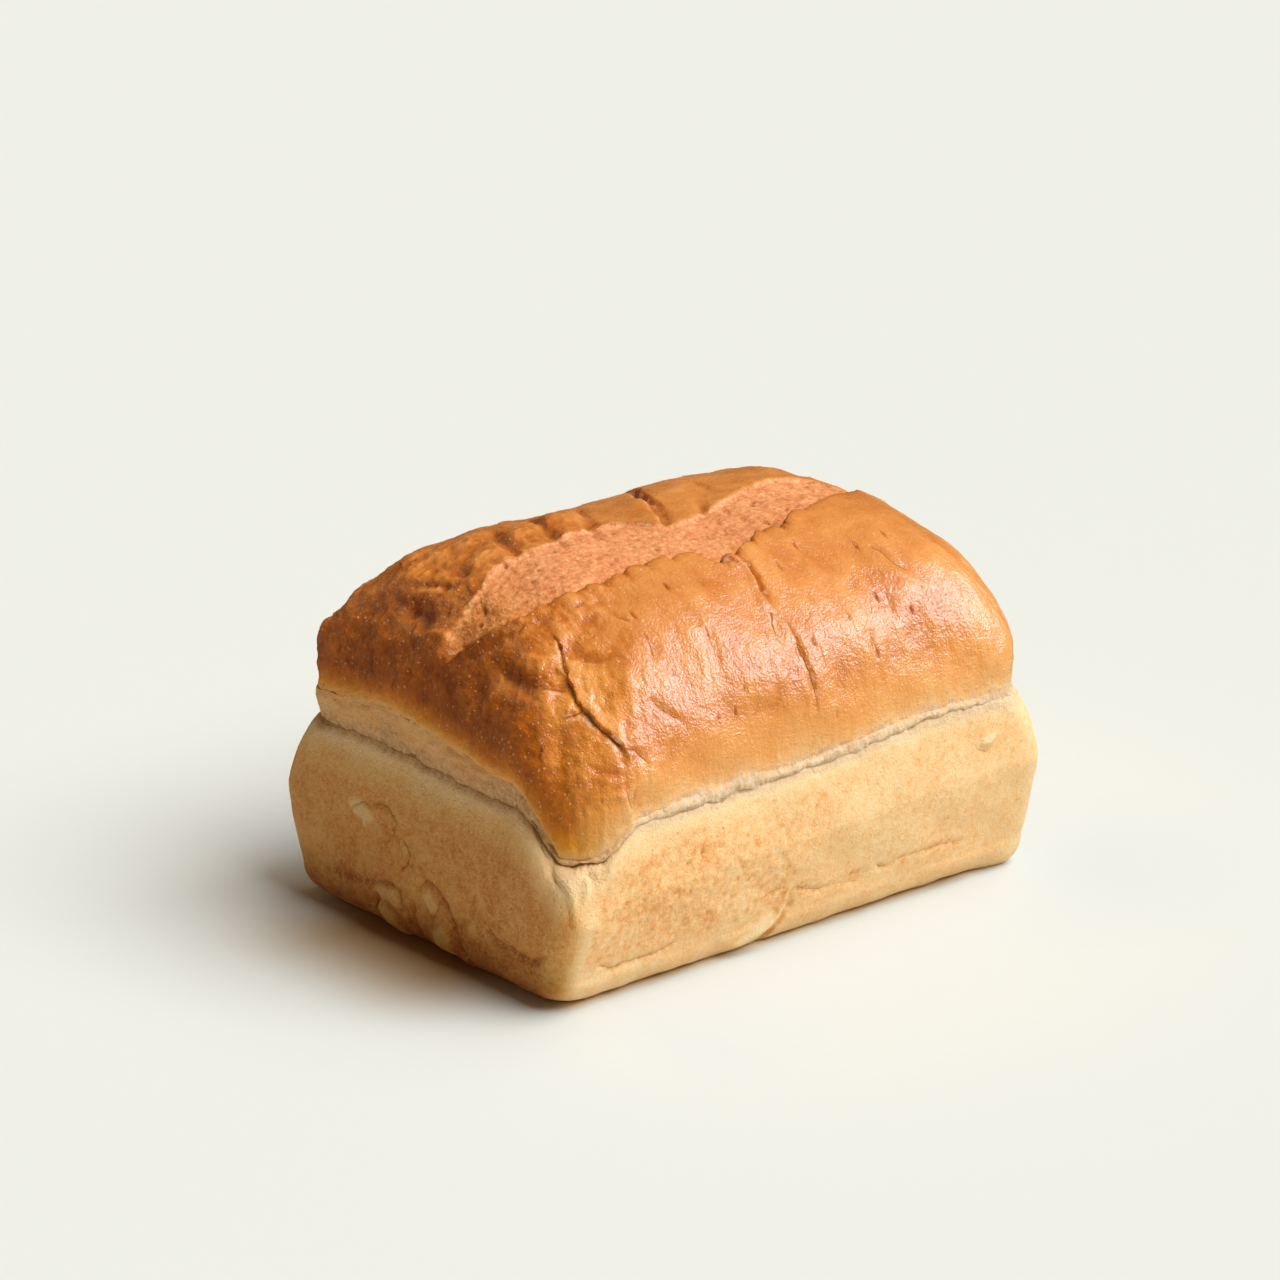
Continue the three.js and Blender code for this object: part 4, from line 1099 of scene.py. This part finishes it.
class Shading:
    """Makes the nodes of one material."""

    def __init__(self, name):
        self.material = bpy.data.materials.new(name)
        self.material.use_nodes = True
        self.tree = self.material.node_tree
        self.shader = self.tree.nodes["Principled BSDF"]

    def set(self, socket, value):
        value = value.socket if isinstance(value, Tone) else value
        if isinstance(value, bpy.types.NodeSocket):
            self.tree.links.new(value, socket)
        else:
            socket.default_value = value

    def add(self, kind, inputs=None, **settings):
        node = self.tree.nodes.new(kind)
        for name, value in settings.items():
            setattr(node, name, value)
        for name, value in (inputs or {}).items():
            self.set(node.inputs[name], value)
        return node

    def read(self, output, kind, inputs=None, **settings):
        """One output of a new node."""
        return Tone(self, self.add(kind, inputs, **settings).outputs[output])

    def math(self, operation, *values, **settings):
        return self.read(0, "ShaderNodeMath", dict(enumerate(values)), operation=operation, **settings)

    def mask(self, name):
        return self.read("Fac", "ShaderNodeAttribute", attribute_name=name)

    def spread(self, value, low, high, to_low=0.0, to_high=1.0):
        """The value's way from low to high, eased and laid between two others."""
        return self.read("Result", "ShaderNodeMapRange", {
            "Value": value, "From Min": low, "From Max": high, "To Min": to_low, "To Max": to_high,
        }, interpolation_type="SMOOTHSTEP")

    def ramp(self, value, stops):
        node = self.add("ShaderNodeValToRGB", {"Fac": value})
        elements = node.color_ramp.elements
        elements[0].position, elements[0].color = stops[0]
        elements[1].position, elements[1].color = stops[-1]
        for place, shade in stops[1:-1]:
            elements.new(place).color = shade
        return Tone(self, node.outputs["Color"])

    def mix(self, share, first, second, blend="MIX"):
        inputs = {0: share, 6: first, 7: second}
        return self.read(2, "ShaderNodeMix", inputs, data_type="RGBA", blend_type=blend)

    def place(self, scale=(1, 1, 1)):
        """Object coordinates in mm, divided by the sizes given for the three axes."""
        coordinates = self.read("Object", "ShaderNodeTexCoord")
        sizes = tuple(1 / (MM * size) for size in scale)
        return self.read("Vector", "ShaderNodeMapping", {"Vector": coordinates, "Scale": sizes})

    def noise(self, size, detail=2.0, roughness=0.5):
        sizes = size if isinstance(size, tuple) else (size, size, size)
        return self.read("Fac", "ShaderNodeTexNoise", {
            "Vector": self.place(sizes), "Scale": 1.0, "Detail": detail, "Roughness": roughness,
        })

    def specks(self, size, radius, share):
        """Small round specks, one in each cell of the size for a share of the cells."""
        cells = self.add("ShaderNodeTexVoronoi", {"Vector": self.place((size, size, size)), "Scale": 1.0})
        spot = self.spread(cells.outputs["Distance"], radius * 0.4, radius, 1.0, 0.0)
        number = self.read(0, "ShaderNodeSeparateColor", {"Color": cells.outputs["Color"]})
        return spot * self.spread(number, 1 - share - 0.02, 1 - share + 0.02)


def shared_tones(look):
    """Sets what the parts of the bread's look have in common: noises about 0, and masks."""
    look.broad = look.noise(16, 2) - 0.5
    look.patchy = look.noise(5, 3, 0.6) - 0.5
    look.mottle = look.noise(1.8, 2, 0.6) - 0.5
    look.grain = look.noise(1.2, 3, 0.6) - 0.5
    look.speck = look.noise(0.55, 2, 0.6) - 0.5
    look.fibre = look.noise((0.8, 0.8, 3), 2) - 0.5
    look.hollow = look.mask("hollow") - 0.5
    look.front, look.facing_left = look.mask("front"), look.mask("facing_left")
    look.facing_else = look.spread(look.facing_left, 0, 1, 1.0, 0.0)
    look.over_brown, look.over_crack = look.mask("over_brown"), look.mask("over_crack")
    look.on_dome = look.spread(look.over_brown, 0.0, 3.0)
    # raised blisters, whose specks are also painted as light glints in the crust's colour
    look.blister = (
        look.specks(1.3, 0.2, 0.7) + look.specks(2.6, 0.17, 0.4) * 0.9
        + look.specks(1.7, 0.26, 0.5) * look.facing_left * 0.8
    )


def wall_colour(look):
    """Pale tan, creamy under the crack, toasted in patches, with darker pores; painted shade on the left end
    and in creases.
    """
    coarse = look.mask("coarse")
    # painted shade: the left end wall browner below the crack and towards its foot
    left_painted_shade = look.facing_left * look.spread(look.over_crack, -3, -13, 0.0, 0.3)
    left_foot_painted_shade = look.facing_left * look.spread(look.mask("height"), 14, 0, 0.0, 0.3)
    pore_share = 0.18 + look.facing_left * -0.12
    toast = (
        look.broad * 0.38 + look.patchy * 0.28 + look.mottle * (coarse * 0.4 + 0.35) + look.grain * 0.45
        + look.speck * 0.5 + look.mask("toast") * (look.grain * 1.6 + look.patchy * 0.8 + 0.2)
        + look.mask("pale") * -0.42 + look.mask("strip") * -0.09 + coarse * 0.1
        # the crease mask adds painted shade in creases
        + look.mask("pore") * pore_share + look.mask("slant") * -0.05 + look.mask("painted_crease_shade") * 0.08
        + left_painted_shade + left_foot_painted_shade + look.spread(look.over_crack, -6, -1, 0.0, -0.14) + 0.4
    )
    wall = look.ramp(
        toast,
        [
            (0.0, colour(248, 220, 172)), (0.25, colour(250, 213, 156)), (0.5, colour(248, 194, 127)),
            (0.75, colour(236, 162, 88)), (1.0, colour(200, 114, 50)),
        ],
    )
    # painted shade on the left end wall, darker still towards its foot
    shaded = look.facing_left * look.spread(look.over_crack, -1, -7)
    wall = look.mix(shaded, wall, (0.87, 0.84, 0.69, 1), "MULTIPLY")
    wall = look.mix(
        look.facing_left * look.spread(look.mask("height"), 4, 18, 1.0, 0.0), wall,
        (0.66, 0.64, 0.42, 1), "MULTIPLY",
    )
    dark_speck = look.specks(7, 0.05, 0.5) * 0.7 + look.specks(3.7, 0.06, 0.3) * 0.45
    wall = look.mix(dark_speck, wall, colour(124, 76, 34))
    wall = look.mix(look.mask("droop_skirt") * 0.6, wall, colour(250, 208, 152))
    return wall


def crust_colour(look):
    """Golden at the dome's foot, browner further up and on the left, partly as painted shade; painted shade
    in hollows and creases, painted light on the right, painted glints on blisters.
    """
    reach = look.spread(look.front, 0, 1, 7.0, 15.0)
    climbed = look.math("DIVIDE", look.over_brown, reach, use_clamp=True)
    bake = (
        climbed * 0.5 + look.broad * 0.25 + look.patchy * 0.2 + look.grain * 0.15
        # painted shade in the relief's hollows
        + look.hollow * look.spread(look.facing_left, 0, 1, 0.35, 0.1) + look.mask("mark") * 0.3
        # browner where the dome faces left: partly its own colour, partly painted shade
        + look.mask("grains") * -0.12 + look.facing_left * (look.on_dome * 0.3 + look.grain * 0.2)
        # painted light on the right, painted shade along the front lip
        + look.mask("painted_light_right") * -0.2 + look.mask("lip") * 0.2 + look.mask("droop") * -0.2
        + look.mask("back_left") * 0.08 + 0.05
    )
    crust = look.ramp(
        bake,
        [
            (0.0, colour(240, 186, 120)), (0.22, colour(238, 165, 92)), (0.45, colour(229, 150, 76)),
            (0.7, colour(200, 114, 44)), (1.0, colour(142, 70, 14)),
        ],
    )
    # painted shade: darker, deeper colour where the dome faces left
    crust = look.mix(
        look.facing_left * look.spread(look.over_brown, -2, 3), crust, (1, 0.86, 0.12, 1), "MULTIPLY",
    )
    # painted light: lighter, more orange on the dome's right
    crust = look.mix(look.mask("painted_light_right") * look.on_dome * 0.5, crust, colour(255, 180, 106))
    # painted glints on the blisters, more on the left
    blister_share = 0.3 + look.facing_left * 0.3
    crust = look.mix(look.blister * blister_share, crust, colour(252, 204, 144))
    # painted shade in creases and pockets
    crust = look.mix(look.mask("painted_crease_shade") * 0.6, crust, colour(156, 78, 24))
    return crust


def crumb_colour(look):
    """The crumb in the cut, cream where it is freshly torn, with painted shade in its holes and creases."""
    crumb_shade = look.grain * 0.6 + look.speck * 0.5 + look.mottle * 0.6 + look.patchy * 0.4 + 0.5
    crumb = look.ramp(
        crumb_shade,
        [
            (0.2, colour(186, 94, 48)), (0.42, colour(216, 132, 76)), (0.6, colour(231, 155, 95)),
            (0.85, colour(247, 194, 136)),
        ],
    )
    # painted shade in the crumb's holes and creases
    crumb = look.mix(look.mask("hole") + look.mask("painted_crease_shade"), crumb, colour(156, 84, 34))
    crumb = look.mix(
        look.spread(look.mask("height"), 89.5, 84.5), crumb, (0.9, 0.86, 0.66, 1), "MULTIPLY",
    )
    cream = look.mask("fresh") * look.spread(look.grain + look.speck, -0.12, 0.08, 0.35, 0.95)
    crumb = look.mix(cream, crumb, colour(244, 216, 164))
    return crumb


def torn_colour(look):
    """The torn band over the crack, with painted shade on the left end."""
    # the left end darker: painted shade
    torn_shade = look.fibre * 0.6 + look.grain * 0.8 + look.facing_left * -0.16 + 0.56
    torn = look.ramp(
        torn_shade,
        [
            (0.1, colour(188, 140, 94)), (0.35, colour(216, 178, 130)), (0.55, colour(234, 208, 164)),
            (0.8, colour(246, 228, 194)),
        ],
    )
    # painted shade: warmer and darker on the left end
    toned = look.mix(look.facing_left, (0.9, 0.82, 0.79, 1), (0.93, 0.77, 0.64, 1))
    return look.mix(1.0, torn, toned, "MULTIPLY")


def bread_colour(look):
    """The sorts of bread, each where its masks put it."""
    wall, crust, crumb, torn = (make(look) for make in (wall_colour, crust_colour, crumb_colour, torn_colour))
    band = look.spread(look.over_crack, -0.3, 0.2) + look.mask("skirt") * 0.7
    skin_colour = look.mix(look.spread(band, 0.2, 0.9), wall, torn)
    edge = look.over_brown + look.fibre * 3.0
    left_edge = edge + look.patchy * 8.0 + look.grain * 4.0 + look.mask("spread_brown") * 5.0
    browned = (
        look.spread(edge, -1.6, 1.2) * look.facing_else
        + look.spread(left_edge, -4.5, 2.0) * look.facing_left
    )
    skin_colour = look.mix(browned, skin_colour, crust)
    rim = look.mask("in_cut") + look.speck * 0.8
    skin_colour = look.mix(look.spread(rim, -0.25, 0.25), skin_colour, crumb)
    rim_line = look.spread(abs(rim), 0.2, 0.8, 1.0, 0.0) * look.spread(look.grain, -0.1, 0.15)
    rim_share = 0.2 + look.mask("back_lip") * 0.25
    skin_colour = look.mix(rim_line * rim_share, skin_colour, colour(248, 196, 140))
    return skin_colour


def add_lines(look, skin_colour):
    """Draws the crack between wall and dome, its core, and the torn lines, and returns these too."""
    ragged_crack = abs(look.over_crack + look.speck * 1.4 + look.grain * 1.2)
    crack = look.spread(ragged_crack, 0.2, 0.9, 1.0, 0.0) * look.mask("held")
    crack_colour = look.mix(look.facing_left, colour(206, 170, 120), colour(172, 128, 74))
    skin_colour = look.mix(
        crack * look.spread(look.facing_left, 0, 1, 0.35, 0.1), skin_colour, crack_colour,
    )
    core_size = abs(look.over_crack + look.speck * 0.6)
    core = look.spread(core_size, 0.05, 0.28, 1.0, 0.0) * look.mask("held")
    core_colour = look.mix(look.facing_left, colour(160, 122, 76), colour(176, 128, 70))
    core_colour = look.mix(look.spread(look.mask("droop"), 0.3, 0.8), core_colour, colour(166, 96, 48))
    skin_colour = look.mix(core * look.spread(look.facing_left, 0, 1, 0.5, 0.2), skin_colour, core_colour)
    line = look.spread(abs(look.mask("line")), 0.03, 0.2, 1.0, 0.0) * look.mask("torn")
    line_colour = look.mix(look.on_dome, colour(170, 112, 58), colour(132, 68, 26))
    line_share = look.spread(look.on_dome, 0, 1, 0.7, 0.75)
    # painted glint on the torn edges beside the lines on the dome
    beside = abs(look.mask("line"))
    flake_glint = (
        look.spread(beside, 0.2, 0.4) * look.spread(beside, 0.8, 1.4, 1.0, 0.0) * look.mask("torn")
        * look.spread(look.patchy, 0.02, 0.08) * look.on_dome
    )
    skin_colour = look.mix(flake_glint * 0.6, skin_colour, colour(252, 206, 160))
    skin_colour = look.mix(line * line_share, skin_colour, line_colour)
    return skin_colour, crack, core, line


def bread_material():
    look = Shading("bread_crust")
    shared_tones(look)
    skin_colour, crack, core, line = add_lines(look, bread_colour(look))
    shine = look.on_dome * look.spread(look.mask("in_cut"), -0.5, 0.5, 1.0, 0.0)
    roughness = (
        look.spread(shine, 0.2, 0.9, 0.75, 0.26) + look.patchy * 0.1 + look.facing_left * 0.06
        + look.mask("facing_back") * 0.12
    )
    crumple = (
        (look.noise((0.9, 0.9, 2.4), 1) - 0.5) * 0.45 + (look.noise(0.7, 1) - 0.5) * 0.65
        + abs(look.noise((1.8, 1.8, 4), 1) - 0.5) * -0.35
    )
    crumple = crumple * look.spread(look.facing_left, 0, 1, 1.0, 0.5)
    matt = look.spread(look.on_dome, 0, 1, 1.0, 0.0)
    height = (
        crumple * shine + look.grain * (0.7 + look.facing_left * 1.2)
        + look.speck * (0.8 + matt * 0.3 + look.facing_left * 0.8)
        + look.blister * (0.6 + look.facing_left * 0.8) + line * -1.2 + core * look.facing_else * -0.4
        + crack * look.facing_else * -0.2
    )
    bump = look.add("ShaderNodeBump", {"Height": height, "Strength": 0.6, "Distance": 0.35 * MM})
    look.set(look.shader.inputs["Base Color"], skin_colour)
    look.set(look.shader.inputs["Roughness"], roughness)
    look.set(look.shader.inputs["Normal"], bump.outputs["Normal"])
    look.set(
        look.shader.inputs["Specular IOR Level"], look.spread(look.mask("facing_back"), 0, 1, 0.4, 0.22),
    )
    return look.material


# ---------------------------------------------------------------------------------------- setting

FLOOR_HALF = 8000
FLOOR_COLOUR = (0.752, 0.754, 0.694, 1)
# Painted shade on the floor close to the loaf, which takes back the light that the bread throws onto it,
# and a painted shadow, dark and warm, in the narrow strip under the left end.
FLOOR_NEAR_PAINTED_SHADE = (0.89, 0.93, 0.98, 1)
NEAR_REACH = 70
FLOOR_PAINTED_SHADOW = (0.6, 0.37, 0.15, 1)
PAINTED_SHADOW_REACH = 45
# Painted warm light on the floor right under the front foot
FLOOR_PAINTED_LIGHT = (1.28, 1.12, 0.9, 1)

# Lights that stand for soft boxes: where each comes from (degrees round from the front towards the right,
# and up), its colour, strength and width in degrees, and whether it lights matt surfaces or shows in gloss
LIGHTS = {
    "key": ((33, 53), (0.932, 0.972, 1.0), 3.48, 50, "matt"),
    "side": ((85, 60), (0.932, 0.972, 1.0), 0.75, 40, "matt"),
    "sheen": ((54, 30), (0.86, 0.93, 1.12), 4.6, 28, "gloss"),
    "behind": ((-165, 12), (1.0, 0.72, 0.5), 0.2, 60, "gloss"),
    "glint": ((-138, 48), (1.0, 0.62, 0.32), 0.8, 34, "gloss"),
}
SKY_COLOUR = (1.0, 0.7, 0.46, 1)
SKY_STRENGTH = 0.14

CAMERA_AZIMUTH = -40
CAMERA_ELEVATION = 19.75
CAMERA_DISTANCE = 1200
CAMERA_AIM = (-8.05, 0, 62.5)
CAMERA_LENS = 142.4
CAMERA_SENSOR = 36


def make_floor():
    mesh = bpy.data.meshes.new("floor")
    side = FLOOR_HALF * MM
    corners = [(-side, -side, 0), (side, -side, 0), (side, side, 0), (-side, side, 0)]
    mesh.from_pydata(corners, [], [(0, 1, 2, 3)])
    floor = bpy.data.objects.new("floor", mesh)
    bpy.context.scene.collection.objects.link(floor)
    look = Shading("plain_floor")
    apart = look.add("ShaderNodeSeparateXYZ", {"Vector": look.place()})
    x, y = Tone(look, apart.outputs[0]), Tone(look, apart.outputs[1])
    past = [
        look.math("MAXIMUM", abs(place) - (half - FOOT_INSET), 0.0)
        for place, half in ((x, HALF_LENGTH), (y, HALF_WIDTH))
    ]
    gap = look.read("Vector", "ShaderNodeCombineXYZ", {"X": past[0], "Y": past[1]})
    away = look.read("Value", "ShaderNodeVectorMath", {0: gap}, operation="LENGTH")
    # painted shade close to the loaf, fading out at its left end
    near_painted_shade = look.spread(away, 0, NEAR_REACH, 1.0, 0.0) * look.spread(x, -80, -55)
    near = look.mix(near_painted_shade, FLOOR_COLOUR, FLOOR_NEAR_PAINTED_SHADE, "MULTIPLY")
    # painted warm light under the front foot
    painted_light_front = look.spread(y, -47.5, -46) * look.spread(y, -38, -42) * look.spread(abs(x), 70, 66)
    near = look.mix(painted_light_front, near, FLOOR_PAINTED_LIGHT, "MULTIPLY")
    # painted shadow beside the left end, dark and warm
    painted_shadow = look.spread(away, 0, PAINTED_SHADOW_REACH, 1.0, 0.0) * look.spread(x, -55, -72)
    painted_shadow *= look.spread(abs(y - 5.0), 14, 44, 1.0, 0.0)
    look.set(look.shader.inputs["Base Color"], look.mix(painted_shadow, near, FLOOR_PAINTED_SHADOW, "MULTIPLY"))
    look.set(look.shader.inputs["Roughness"], 1.0)
    look.set(look.shader.inputs["Specular IOR Level"], 0.0)
    mesh.materials.append(look.material)
    floor.visible_glossy = False


def direction(azimuth, elevation):
    """The unit vector towards a place seen from the loaf: degrees round from the front, and up."""
    round_by, up_by = math.radians(azimuth), math.radians(elevation)
    return Vector((
        math.sin(round_by) * math.cos(up_by), -math.cos(round_by) * math.cos(up_by), math.sin(up_by),
    ))


def make_lights():
    for name, (seen_at, shade, strength, width, surfaces) in LIGHTS.items():
        sun = bpy.data.lights.new(name, "SUN")
        sun.color = shade
        sun.energy = strength
        sun.angle = math.radians(width)
        holder = bpy.data.objects.new(name, sun)
        holder.rotation_mode = "QUATERNION"
        holder.rotation_quaternion = direction(*seen_at).to_track_quat("Z", "Y")
        holder.visible_diffuse = surfaces == "matt"
        holder.visible_glossy = surfaces == "gloss"
        bpy.context.scene.collection.objects.link(holder)
    world = bpy.data.worlds.new("sky")
    world.use_nodes = True
    background = world.node_tree.nodes["Background"]
    background.inputs["Color"].default_value = SKY_COLOUR
    background.inputs["Strength"].default_value = SKY_STRENGTH
    bpy.context.scene.world = world


def make_camera():
    back = direction(CAMERA_AZIMUTH, CAMERA_ELEVATION)
    camera = bpy.data.cameras.new("camera")
    camera.lens = CAMERA_LENS
    camera.sensor_width = CAMERA_SENSOR
    camera.clip_end = 100
    holder = bpy.data.objects.new("camera", camera)
    holder.location = (Vector(CAMERA_AIM) + CAMERA_DISTANCE * back) * MM
    holder.rotation_mode = "QUATERNION"
    holder.rotation_quaternion = (-back).to_track_quat("-Z", "Y")
    bpy.context.scene.collection.objects.link(holder)
    bpy.context.scene.camera = holder


make_camera()
make_lights()
make_floor()
bread = make_loaf()
bread.data.materials.append(bread_material())
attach(bread, "root")
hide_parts("loaf")
bpy.context.scene.view_settings.view_transform = "Standard"
bpy.context.scene.view_settings.look = "None"

bpy.context.view_layer.update()
